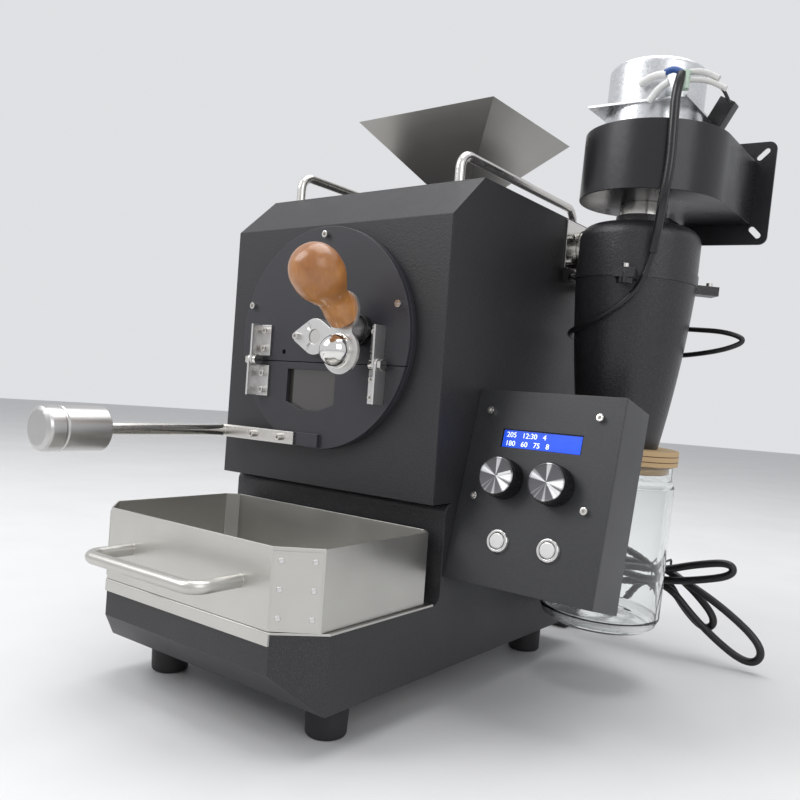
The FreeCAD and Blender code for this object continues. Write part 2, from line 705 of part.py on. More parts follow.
def discharge_door():
    disc = rod("door_disc", "disc_radius", "disc_plate - seat_gap", 0, DISC_FACE, AXIS, "Y")
    above = box("above_seam", "-disc_radius - 1", f"{DISC_FACE} - 1", f"{SEAM} - seam_gap / 2",
                "disc_radius * 2 + 2", "disc_plate + 2", "disc_radius * 2")
    left, right = "-window_left", "window_right"
    top = f"({SEAM} - window_top_drop)"
    straight = "(window_height - 6)"
    width = "(window_left + window_right)"
    hole = [(left, top), (right, top), (right, f"{top} - {straight}"),
            (f"{right} - {width} * 0.3", f"{top} - window_height"),
            (f"{left} + {width} * 0.3", f"{top} - window_height"), (left, f"{top} - {straight}")]
    opening = plate("window_hole", "XZ", hole, "disc_plate + 2", "disc_plate + flange_ring - disc_plate - 1 + 0")
    arm = box("door_arm", "-strip_left + 24", f"{DISC_FACE} - 3", f"{AXIS} - arm_drop - arm_height / 2",
              "strip_left - 24 + 7", 3, "arm_height")
    keep("door_plate", fuse("door_with_arm", cut("door_cut", disc, above, opening), arm))
    rim = "window_frame"
    frame = plate("window_rim", "XZ",
                  [(f"{left} - {rim}", f"{top} + {rim}"), (f"{right} + {rim}", f"{top} + {rim}"),
                   (f"{right} + {rim}", f"{top} - {straight} - {rim} / 2"),
                   (f"{right} - {width} * 0.3", f"{top} - window_height - {rim}"),
                   (f"{left} + {width} * 0.3", f"{top} - window_height - {rim}"),
                   (f"{left} - {rim}", f"{top} - {straight} - {rim} / 2")], 2.6, "flange_ring - 2.5")
    keep("door_glass", frame)


def door_lever():
    z = f"({AXIS} - arm_drop)"
    face = f"({DISC_FACE} - 3)"
    strip = box("lever_strip", "-strip_left", f"{face} - strip_thick", f"{z} - strip_height / 2",
                "strip_left - strip_right", "strip_thick", "strip_height")
    bent = box("lever_ledge", "-strip_left", f"{face} - 8", f"{z} - strip_height / 2", "strip_left - strip_right", 8,
               1.5)
    bar = rod("lever_rod", "lever_radius", "lever_length", "-lever_side", f"{face} - strip_thick + 1", z, "-Y")
    keep("door_lever", fuse("lever", strip, bar))
    start = f"({face} - strip_thick + 1 - lever_length)"
    weight = turned("weight", [(0, 0), ("weight_radius - 1", 0), ("weight_radius", 1),
                               ("weight_radius", "weight_length - 16"), ("weight_radius - 0.8", "weight_length - 15.5"),
                               ("weight_radius - 0.8", "weight_length - 14"), ("weight_radius", "weight_length - 13.5"),
                               ("weight_radius", "weight_length - 4"), ("weight_radius - 1", "weight_length - 1.4"),
                               ("weight_radius - 4", "weight_length"), (0, "weight_length")],
                    "-lever_side", start, z, (1, 0, 0), 90)
    keep("counterweight", weight)


# Drum, shaft, jacket, heaters, motor

def drum():
    start, length = "drum_front", "drum_length"
    inside = "drum_radius - drum_wall"
    shell = tube("drum_tube", "drum_radius", inside, f"{length} - drum_wall", 0, start, AXIS, "Y")
    lip = tube("drum_lip_ring", "drum_radius", "drum_radius - drum_lip", "drum_wall", 0, start, AXIS, "Y")
    back = tube("drum_back_ring", "drum_radius", "drum_radius - drum_lip * 2.5", "drum_wall", 0,
                f"{start} + {length} - drum_wall", AXIS, "Y")
    spokes = []
    for number, place in enumerate((f"{start} + {length} - 4", f"{start} + {length} * 0.7")):
        for turn in range(3):
            arm = box(f"spoke{number}_{turn}", f"-sqrt(({inside} - weld_gap)^2 - spoke_width^2 / 4)", 0,
                      "-spoke_width / 2", f"{inside} - shaft_radius - 5", 4, "spoke_width")
            spokes.append(again(arm, f"spoke{number}_{turn}_set", 0, place, AXIS, (0, 1, 0), turn * 120 + 30))
        spokes.append(tube(f"spider{number}", "shaft_radius + 7", "shaft_radius + weld_gap", 4, 0, place, AXIS,
                           "Y"))
    keep("roasting_drum", fuse("drum_rolled", shell, lip))
    keep("drum_spiders", group("drum_spokes", fuse("rear_spider", back, *spokes[:4]),
                               fuse("front_spider", *spokes[4:])))
    keep("drum_vanes", solid_of("vanes", vane_shape()))
    tip = f"({DISC_FACE} - bearing_flange_thick + 1)"
    keep("drum_shaft", rod("shaft", "shaft_radius", f"{MOTOR_FRONT} + shaft_grip - {tip}", 0, tip, AXIS, "Y"))


def vane_shape():
    """Twisted mixing vanes inside the drum, each lofted through radial sections."""
    radius = value("drum_radius - drum_wall - weld_gap")
    low = value("drum_radius - drum_wall - vane_depth")
    start = value("drum_front + drum_wall")
    length = value("drum_length - drum_wall * 2")
    axis = value(AXIS)
    vanes = []
    count = int(round(value("vane_count")))
    for vane in range(count):
        sections = []
        for step in range(6):
            share = step / 5
            angle = math.radians(vane * 360 / count + share * value("vane_twist"))
            out = Vector(math.cos(angle), 0, math.sin(angle))
            across = Vector(-math.sin(angle), 0, math.cos(angle)) * 0.75
            middle = Vector(0, start + share * length, axis)
            corners = [middle + out * low - across, middle + out * radius - across,
                       middle + out * radius + across, middle + out * low + across]
            sections.append(Part.makePolygon(corners + corners[:1]))
        vanes.append(Part.makeLoft(sections, True, True))
    return Part.makeCompound(vanes)


def chamber():
    jacket = tube("jacket_tube", "jacket_radius", "jacket_radius - sheet_wall", "jacket_length", 0, "sheet_wall",
                  AXIS, "Y")
    bulkhead = rod("bulkhead_disc", "jacket_radius", "sheet_wall", 0, "jacket_length + sheet_wall", AXIS, "Y")
    shaft_hole = rod("bulkhead_hole", "shaft_radius + 2", 6, 0, "jacket_length", AXIS, "Y")
    smoke_hole = box("smoke_hole", 22, "jacket_length", f"{AXIS} + 55", 26, 6, 18)
    chute_hole = box("chute_hole", "-hopper_neck / 2 - socket_wall - seat_gap",
                     "hopper_back - hopper_neck / 2 - socket_wall - seat_gap", f"{AXIS} + 40",
                     "hopper_neck + (socket_wall + seat_gap) * 2", "hopper_neck + (socket_wall + seat_gap) * 2", 60)
    keep("heat_jacket", cut("jacket", fuse("jacket_closed", jacket, bulkhead), shaft_hole, smoke_hole, chute_hole))

    heaters = []
    for index, angle in enumerate((-130, -110, -70, -50)):
        turn = math.radians(angle)
        heaters.append(rod(f"heater{index}", "heater_radius", "jacket_length - seat_gap",
                           f"heater_circle * {math.cos(turn):.6f}", "sheet_wall + seat_gap",
                           f"{AXIS} + heater_circle * {math.sin(turn):.6f}", "Y"))
    keep("heating_rods", group("heaters", *heaters))

    back = MOTOR_FRONT
    can = rod("motor_can", "motor_radius", "motor_length", 0, back, AXIS, "Y")
    bore = rod("motor_bore", "shaft_radius + running_gap", "shaft_grip + 2", 0, back, AXIS, "Y")
    foot = box("motor_foot", "-motor_radius", back, f"{HOUSE} + sheet_wall", "motor_radius * 2", "motor_length - 2",
               f"{AXIS} - {HOUSE} - sheet_wall - motor_radius / 2")
    keep("drum_motor", cut("motor_bored", fuse("motor_on_foot", can, foot), bore))

    box_low = f"({AXIS} + 50)"
    duct_back = "(jacket_length + sheet_wall * 2)"
    outer = box("duct_out", 15, duct_back, box_low, "house_half - sheet_wall - 15 - seat_gap", 44,
                f"{ROOF} - sheet_wall - seat_gap - {box_low}")
    inner = box("duct_in", 16.2, f"{duct_back} - 1", f"{box_low} + 1.2", "house_half", 43.8,
                f"{ROOF} - sheet_wall - seat_gap - {box_low} - 2.4")
    return cut("duct", outer, inner)


# Sampler, handle, screws, hopper

def sampler():
    ring = rod("bush_ring", "boss_radius", "boss_thick", "sampler_side", f"{DISC_FACE} - boss_thick - seat_gap",
               SAMPLER_Z, "Y")
    spigot = rod("bush_spigot", "spigot_radius", "boss_thick + disc_plate", "sampler_side",
                 f"{DISC_FACE} - boss_thick - seat_gap", SAMPLER_Z, "Y")
    bush_bore = rod("bush_bore", "sampler_radius + running_gap", 40, "sampler_side", -30, SAMPLER_Z, "Y")
    keep("sampler_boss", cut("bush", fuse("bush_solid", ring, spigot), bush_bore))

    face = f"({DISC_FACE} - sampler_stand)"
    tube_piece = tube("scoop_tube", "sampler_radius", "sampler_radius - 1.2",
                      "sampler_inside + sampler_stand + flange_ring + disc_plate", "sampler_side", face, SAMPLER_Z, "Y")
    trough = box("scoop_open", "sampler_side - sampler_radius - 1", 14, f"{SAMPLER_Z} - 1",
                 "sampler_radius * 2 + 2", "sampler_inside - 14 - 3", "sampler_radius + 2")
    plug = rod("scoop_plug", "sampler_radius - 0.6", 12, "sampler_side", face, SAMPLER_Z, "Y")
    end = rod("scoop_end", "sampler_radius - 0.6", 2, "sampler_side", "sampler_inside - 2", SAMPLER_Z, "Y")
    lobes = fuse("lobes",
                 rod("lobe_up", "upper_lobe", "plate_thick", "sampler_side", face, f"{SAMPLER_Z} + upper_lobe_rise", "-Y"),
                 rod("lobe_low", "lower_lobe", "plate_thick", "sampler_side", face, f"{SAMPLER_Z} - lower_lobe_drop", "-Y"),
                 box("lobe_waist", "sampler_side - plate_waist / 2", f"{face} - plate_thick",
                     f"{SAMPLER_Z} - lower_lobe_drop", "plate_waist", "plate_thick",
                     "upper_lobe_rise + lower_lobe_drop"))

    def waist_edge(edge, middle):
        inside = abs(middle.z - value(SAMPLER_Z)) < value("upper_lobe_rise")
        return along_axis(edge, Vector(0, 1, 0)) and inside

    keyhole = rounded("keyhole", lobes, 5, waist_edge)
    keep("sampler_scoop", fuse("scoop", cut("scoop_trough", tube_piece, trough), plug, end, keyhole))

    front = f"({face} - plate_thick)"
    level = f"({SAMPLER_Z} - lower_lobe_drop)"
    collar = rod("knob_collar", "knob_radius + 1.2", 3, "sampler_side", front, level, "-Y")
    dome = ball("knob_ball", "knob_radius", "sampler_side", f"{front} - 5", level)
    trim = box("knob_trim", "sampler_side - 30", front, f"{level} - 30", 60, 30, 60)
    keep("steel_knob", fuse("knob", collar, cut("knob_dome", dome, trim)))

    grip = handle_shape()
    place = Vector(value("sampler_side"), value(f"{front} - 4"), value(f"{SAMPLER_Z} + upper_lobe_rise + 2"))
    grip.Placement = Placement(place, Rotation(Vector(1, 0, 0), 90 - value("handle_tilt")))
    behind = Part.makeBox(80, 80, 160, Vector(place.x - 40, value(front), place.z - 80))
    wood = solid_of("wood", grip.cut(behind))
    keep("wooden_handle", wood)


def handle_shape():
    """The turned pear-shaped grip about its own Z axis, from its foot up."""
    length = value("handle_length")
    foot, waist, bulb = value("handle_base"), value("handle_waist"), value("handle_bulb")
    curve = Part.BSplineCurve()
    curve.interpolate([Vector(foot, 0, 0), Vector(waist, 0, length * 0.26), Vector(waist * 1.25, 0, length * 0.45),
                       Vector(bulb, 0, length * 0.72), Vector(bulb * 0.72, 0, length * 0.93),
                       Vector(0, 0, length)],
                      InitialTangent=Vector(-0.25, 0, 1), FinalTangent=Vector(-1, 0, 0))
    foot_line = Part.makeLine(Vector(0, 0, -9), Vector(foot, 0, -9))
    side = Part.makeLine(Vector(foot, 0, -9), Vector(foot, 0, 0))
    middle = Part.makeLine(Vector(0, 0, length), Vector(0, 0, -9))
    face = Part.Face(Part.Wire([foot_line, side, curve.toShape(), middle]))
    return face.revolve(Vector(), Vector(0, 0, 1), 360)


def screws(pivot_bolts):
    head = cut("screw", rod("screw_round", "screw_head", "screw_head_height"),
               prism("screw_hex", 6, "screw_socket * 1.15", 2.2, 0, 0, "screw_head_height - 2.2", "Z"))
    forward = ((1, 0, 0), 90)
    leaf = "(hinge_side + hinge_face_width / 2 - hinge_sheet / 2)"
    leaf_face = f"({DISC_FACE} - hinge_sheet)"
    fixed = [(0, DISC_FACE, f"{AXIS} + disc_radius - 7"),
             ("-disc_radius * 0.878", DISC_FACE, f"{AXIS} + disc_radius * 0.29"),
             ("disc_radius * 0.878", DISC_FACE, f"{AXIS} + disc_radius * 0.29")]
    fixed += [(f"{side}{leaf}", leaf_face, f"{SEAM} + {rise}") for side in ("", "-") for rise in (10, 25)]
    fixed += [("-bearing_ear_offset", f"{DISC_FACE} - bearing_flange_thick", AXIS)]
    spots = [again(head, f"screw{index}", *spot, *forward) for index, spot in enumerate(fixed)]
    plate_mid = "(pipe_back - exhaust_plate_width / 2 + 8)"
    for index, drop in enumerate((2, 24)):
        spots.append(again(head, f"wall_screw{index}", "house_half + sheet_wall", plate_mid, f"{PIPE_Z} + 10 - {drop}",
                           (0, 1, 0), 90))
    keep("hinge_bolts_and_screws", group("housing_screw_set", *pivot_bolts, *spots, lid_bolts(), control_screws()))
    door = [(f"{side}{leaf}", leaf_face, f"{SEAM} - {drop}") for side in ("", "-") for drop in (11, 25)]
    strip = f"({DISC_FACE} - 3 - strip_thick)"
    door += [("-33", strip, f"{AXIS} - arm_drop"), ("-65", strip, f"{AXIS} - arm_drop")]
    keep("door_screws", group("door_screw_set", *[again(head, f"door_screw{index}", *spot, *forward)
                                                  for index, spot in enumerate(door)]))


def lid_bolts():
    """The three bolts through the cyclone's lugs, in the leaning stack's place."""
    x, y = CYCLONE
    bolts = []
    for index, angle in enumerate(LUG_TURNS):
        turn = math.radians(angle)
        reach = "(cap_radius + lug_reach - 6)"
        spot = (f"{x} + {reach} * {math.cos(turn):.6f}", f"{y} + {reach} * {math.sin(turn):.6f}")
        bolts.append(again(doc.getObject("screw"), f"lid_bolt{index}", *spot, f"{CAP_LOW} + cap_band * 0.45"))
    return put(group("lid_bolt_set", *bolts), "house_half", "pipe_back", PIPE_Z, (0, 1, 0), "stack_lean")


def control_screws():
    spots = []
    for index, (side, up) in enumerate(((14.2, 130.9), (103, 131.5), (14.2, 64), (103, 64.6))):
        spots.append(again(doc.getObject("screw"), f"face_screw{index}", side, 0, up, (1, 0, 0), 90))
    return put(group("control_screw_set", *spots), "house_half", "control_front", "control_low", (1, 0, 0),
               "-control_tilt")


def pyramid(name, low, high, height, z, grow="0"):
    """A square frustum, low side first, centred on the hopper's axis."""
    item = doc.addObject("Part::Wedge", name)
    bind(item, Xmin=f"-({low}) / 2", Xmax=f"({low}) / 2", Zmin=f"-({low}) / 2", Zmax=f"({low}) / 2",
         X2min=f"-({high}) / 2", X2max=f"({high}) / 2", Z2min=f"-({high}) / 2", Z2max=f"({high}) / 2",
         Ymin="0", Ymax=height)
    return put(item, 0, "hopper_back", z, (1, 0, 0), 90)


def hopper():
    neck = "(hopper_neck - (socket_wall * 0 + seat_gap) * 2)"
    base = f"({ROOF} + seat_gap)"
    low = f"({base} + hopper_neck_height)"
    slant = "(hopper_sheet * 1.45)"
    outer = fuse("hopper_out",
                 box("neck_out", f"-{neck} / 2", f"hopper_back - {neck} / 2", base, neck, neck, "hopper_neck_height"),
                 pyramid("funnel_out", neck, "hopper_rim", "hopper_cone_height", low))
    inner = fuse("hopper_in",
                 box("neck_in", f"hopper_sheet - {neck} / 2", f"hopper_back + hopper_sheet - {neck} / 2",
                     f"{base} - 1", f"{neck} - hopper_sheet * 2", f"{neck} - hopper_sheet * 2",
                     f"hopper_neck_height + 1"),
                 pyramid("funnel_in", f"{neck} - hopper_sheet * 2", f"hopper_rim - {slant} * 2 + 2 * hopper_sheet",
                         "hopper_cone_height + hopper_sheet", low))
    keep("hopper", cut("hopper_sheet_metal", outer, inner))

    wall, gap = "socket_wall", "seat_gap"
    size = "(hopper_neck + socket_wall * 2)"
    tall = "(socket_height + chute_depth)"
    chute_low = f"({ROOF} - chute_depth)"
    outside = box("socket_out", f"-{size} / 2", f"hopper_back - {size} / 2", chute_low, size, size, tall)
    bore = box("socket_in", "-hopper_neck / 2", "hopper_back - hopper_neck / 2", ROOF, "hopper_neck",
               "hopper_neck", "socket_height + 1")
    narrow = "(hopper_neck - socket_ledge * 2)"
    throat = box("chute_in", f"-{narrow} / 2", f"hopper_back - {narrow} / 2", f"{chute_low} - 1", narrow, narrow,
                 f"{tall} + 2")
    rim = box("socket_rim", "-hopper_neck / 2 - 9", "hopper_back - hopper_neck / 2 - 9", ROOF, "hopper_neck + 18",
              "hopper_neck + 18", "sheet_wall")
    keep("feed_chute", cut("feed_socket", fuse("socket_flanged", outside, rim), bore, throat))


# Tray

def tray():
    flat = "(tray_reach - tray_corner)"
    step = "tray_back_corner"
    plan = [("tray_half - " + step, "tray_back"), (f"{step} - tray_half", "tray_back"),
            ("-tray_half", f"tray_back - {step}"), ("-tray_half", f"-{flat}"),
            ("-tray_front_half", "-tray_reach"), ("tray_front_half", "-tray_reach"),
            ("tray_half", f"-{flat}"), ("tray_half", f"tray_back - {step}")]
    run = "(tray_half - tray_front_half)"
    corner = f"sqrt({run}^2 + tray_corner^2)"
    bite = "(tray_wall * 0.4142)"
    in_half = "(tray_half - tray_wall)"
    in_corner = f"(tray_wall * ({corner} - tray_corner) / {run} - {flat})"
    in_edge = f"(tray_front_half - tray_wall * ({corner} - {run}) / tray_corner)"
    inner = [(f"tray_half - {step} - {bite}", "tray_back - tray_wall"),
             (f"{step} + {bite} - tray_half", "tray_back - tray_wall"),
             (f"-{in_half}", f"tray_back - {step} - {bite}"), (f"-{in_half}", in_corner),
             (f"-{in_edge}", "tray_wall - tray_reach"), (in_edge, "tray_wall - tray_reach"),
             (in_half, in_corner), (in_half, f"tray_back - {step} - {bite}")]
    outside = plate("tray_out", "XY", plan, "tray_height", TRAY_LOW)
    inside = plate("tray_in", "XY", inner, "tray_height", f"{TRAY_LOW} + tray_wall")
    floor = box("tray_floor_hole", "12 - tray_front_half", "12 - tray_reach", f"{TRAY_LOW} - 1",
                "(tray_front_half - 12) * 2", "tray_reach + tray_back - 24", "tray_wall + 2")
    box_part = cut("tray_box", outside, inside, floor)

    width = "(tray_front_half - 6)"
    screen = box("screen_sheet", f"-{width}", "7 - tray_reach", f"{TRAY_LOW} + tray_wall", f"{width} * 2",
                 "tray_reach + tray_back - 14", "screen_thick")
    slots = [box(f"screen_slot{column}_{row}", f"{column} * 22 - 74", f"{row} * 11 + 15 - tray_reach",
                 f"{TRAY_LOW} + tray_wall - 1", 16, 4, "screen_thick + 2")
             for column in range(7) for row in range(11)]
    keep("tray_screen", cut("screen", screen, *slots))

    level = f"({TRAY_LOW} + tray_handle_rise)"
    front = "(-tray_reach)"
    reach, turn = "tray_handle_reach", "tray_handle_bend"
    legs, corners = [], []
    for side in (-1, 1):
        legs.append(rod(f"tray_leg{side}", "tray_handle_radius", f"{reach} - {turn}", f"{side} * tray_handle_half",
                        front, level, "-Y"))
        item = doc.addObject("Part::Torus", f"tray_corner{side}")
        bind(item, Radius1=turn, Radius2="tray_handle_radius")
        item.Angle3 = 90
        put(item, f"{side} * (tray_handle_half - {turn})", f"{front} - {reach} + {turn}", level,
            (0, 0, 1), -90 if side == 1 else 180)
        corners.append(item)
    bar = rod("tray_bar", "tray_handle_radius", f"(tray_handle_half - {turn}) * 2", f"{turn} - tray_handle_half",
              f"{front} - {reach}", level, "X")
    keep("bean_tray", fuse("tray_welded", box_part, *legs, *corners, bar))


# Exhaust, cyclone, jar and blower, drawn from the pipe's start in the wall

def lean(label, item):
    """Hang a finished piece of the stack from the wall, leaning with it."""
    holder = group(label + "_hung", item)
    return keep(label, put(holder, "house_half", "pipe_back", PIPE_Z, (0, 1, 0), "stack_lean"))


CYCLONE = ("stack_reach", "-stack_setback")
CAP_LOW = "(-seam_below_pipe)"
CAP_TOP = "(cap_side - seam_below_pipe + cap_band + cap_round)"
LUG_TURNS = (-76, 38, 150)


def exhaust(duct):
    back = "(pipe_back - exhaust_plate_width / 2)"
    sheet_plate = box("exhaust_sheet", "house_half", back, f"{ROOF} - sheet_wall - exhaust_plate_height", "sheet_wall",
                      "exhaust_plate_width", "exhaust_plate_height")
    hole = rod("exhaust_plate_hole", "pipe_radius + 0.6", 6, "house_half - 2", "pipe_back", PIPE_Z, "X")
    pipe = group("pipe_place", tube("pipe", "pipe_radius", "pipe_radius - pipe_wall", "pipe_length", -3, 0, 0, "X"))
    put(pipe, "house_half", "pipe_back", PIPE_Z, (0, 1, 0), "stack_lean")
    keep("exhaust_duct", group("exhaust_set", duct, cut("exhaust_plate_cut", sheet_plate, hole), pipe))


def cyclone():
    x, y = CYCLONE
    low = f"({CAP_LOW} - cone_length)"
    body = solid_of("cone", cone_shape())
    spots = []
    for index, angle in enumerate(LUG_TURNS):
        lug = box(f"lug{index}", "cap_radius - 4", "-lug_width / 2", 0, "lug_reach + 4", "lug_width", "cap_band * 0.45")
        spots.append(again(lug, f"lug{index}_low", x, y, f"{CAP_LOW} - cap_band * 0.45", (0, 0, 1), angle))
    hollow = rod("cone_mouth", "cap_radius - cap_wall", 12, x, y, f"{CAP_LOW} - 11.5")
    lean("cyclone_cone", cut("cone_with_lugs", fuse("cone_lugged", body, *spots), hollow))

    cap = rod("cap_side_wall", "cap_radius", f"{CAP_TOP} - {CAP_LOW}", x, y, CAP_LOW)

    def top_edge(edge, middle):
        return abs(middle.z - value(CAP_TOP)) < 0.01 and edge.Curve.TypeId == "Part::GeomCircle"

    outside = rounded("cap_domed", cap, "cap_round", top_edge)
    band = tube("cap_band_ring", "cap_radius + 0.8", "cap_radius - 1", "cap_band", x, y, CAP_LOW)
    collar = rod("cap_collar", "collar_radius", "collar_height + 4", x, y, f"{CAP_TOP} - 4")
    inlet = rod("inlet_out", "pipe_radius + cap_wall", "stack_reach - socket_start", "socket_start", 0, 0, "X")
    bead = rod("inlet_bead", "pipe_radius + cap_wall + 1.5", 6, "socket_start", 0, 0, "X")
    lugs = [again(doc.getObject(f"lug{index}"), f"lug{index}_high", x, y, CAP_LOW, (0, 0, 1), angle)
            for index, angle in enumerate(LUG_TURNS)]
    solid = fuse("cap_solid", outside, band, collar, inlet, bead, *lugs)
    room = rod("cap_room", "cap_radius - cap_wall", f"{CAP_TOP} - {CAP_LOW} - cap_round + 1", x, y, f"{CAP_LOW} - 1")
    bore = rod("collar_bore", "outlet_radius + seat_gap", 80, x, y, -40)
    pipe_bore = rod("inlet_in", "pipe_radius + seat_gap", "pipe_length - 3 + seat_gap", 0, 0, 0, "X")
    inlet_bore = rod("inlet_throat", "pipe_radius - pipe_wall", "stack_reach", 0, 0, 0, "X")
    lean("cyclone_cap", cut("cap", solid, room, bore, pipe_bore, inlet_bore))

    lean("outlet_pipe", tube("riser_pipe", "outlet_radius", "outlet_radius - pipe_wall", "blower_rise + 45", x, y,
                             -45))


def cone_shape():
    """The tapering barrel under the lid, with its open foot, made of bowed inside and outside curves."""
    top, foot = value("cap_radius"), value("cone_low_radius")
    wall, length = value("cap_wall"), value("cone_length")
    bulge = value("cone_bulge")
    middle = (top + foot) / 2 + bulge

    def side(inset):
        return Part.Arc(Vector(foot - inset, 0, -length), Vector(middle - inset, 0, -length / 2),
                        Vector(top - inset, 0, 0)).toShape()

    outer, inner = side(0), side(wall)
    rim = Part.makeLine(Vector(top - wall, 0, 0), Vector(top, 0, 0))
    base = Part.makeLine(Vector(foot - wall, 0, -length), Vector(foot, 0, -length))
    face = Part.Face(Part.Wire(Part.__sortEdges__([outer, rim, inner, base])))
    solid = face.revolve(Vector(), Vector(0, 0, 1), 360)
    solid.translate(Vector(value(CYCLONE[0]), value(CYCLONE[1]), value(CAP_LOW)))
    return solid


JAR_TOP = f"({CAP_LOW} - cone_length)"


def jar():
    x, y = CYCLONE
    top = JAR_TOP
    lid_low = f"({top} - lid_height)"
    lid = fuse("lid_solid", rod("lid_disc", "lid_radius", "lid_height", x, y, lid_low),
               rod("lid_plug", "lid_plug_radius", "lid_plug_height", x, y, f"{lid_low} - lid_plug_height"))
    hole = rod("lid_hole", "cone_low_radius - cap_wall", 60, x, y, f"{lid_low} - 30")
    ring = "(jar_neck_radius - jar_wall)"
    seal = tube("seal", f"{ring} - seat_gap", "lid_plug_radius", 5, x, y, f"{lid_low} - lid_plug_height + 1")
    lean("jar_lid", group("lid_and_seal", cut("lid", lid, hole), seal))
    jar_top = "(-seat_gap)"
    depth = "jar_height"
    profile = [(0, f"-{depth}"), ("jar_radius - 9", f"-{depth}"), ("jar_radius - 3", f"4 - {depth}"),
               ("jar_radius", f"11 - {depth}"), ("jar_radius", "-jar_neck_height - 6"),
               ("jar_neck_radius", "-jar_neck_height"), ("jar_neck_radius", jar_top),
               ("jar_neck_radius - jar_wall", jar_top), ("jar_neck_radius - jar_wall", "-jar_neck_height - 2"),
               ("jar_radius - jar_wall", "-jar_neck_height - 8"), ("jar_radius - jar_wall", f"12 - {depth}"),
               ("jar_radius - 9", f"jar_wall + 1 - {depth}"), (0, f"jar_wall + 1 - {depth}")]
    lean("glass_jar", turned("jar_glass", profile, x, y, lid_low))


def scroll_block(name, inset, low, height):
    """The scroll's plan as a solid, inset by a wall."""
    x, y = CYCLONE
    left, right = f"(scroll_left - {inset})", f"(scroll_right - {inset})"
    back = f"(scroll_back - {inset})"
    centre = f"(({right} - {left}) / 2)"
    front = doc.addObject("Part::Cylinder", name + "_front")
    bind(front, Radius=f"({right} + {left}) / 2", Height=height)
    front.Angle = 180
    put(front, f"{x} + {centre}", y, low, (0, 0, 1), 180)
    rear = doc.addObject("Part::Cylinder", name + "_rear")
    bind(rear, Radius=back, Height=height)
    rear.Angle = 90
    put(rear, f"{x} - {left} + {back}", y, low, (0, 0, 1), 90)
    fill = box(name + "_fill", f"{x} - {left} + {back}", y, low, f"{right} + {left} - {back}", back, height)
    duct = box(name + "_duct", f"{x} + outlet_left + {inset}", y, low, f"{right} - outlet_left - {inset}",
               "outlet_back", height)
    return fuse(name, front, rear, fill, duct)


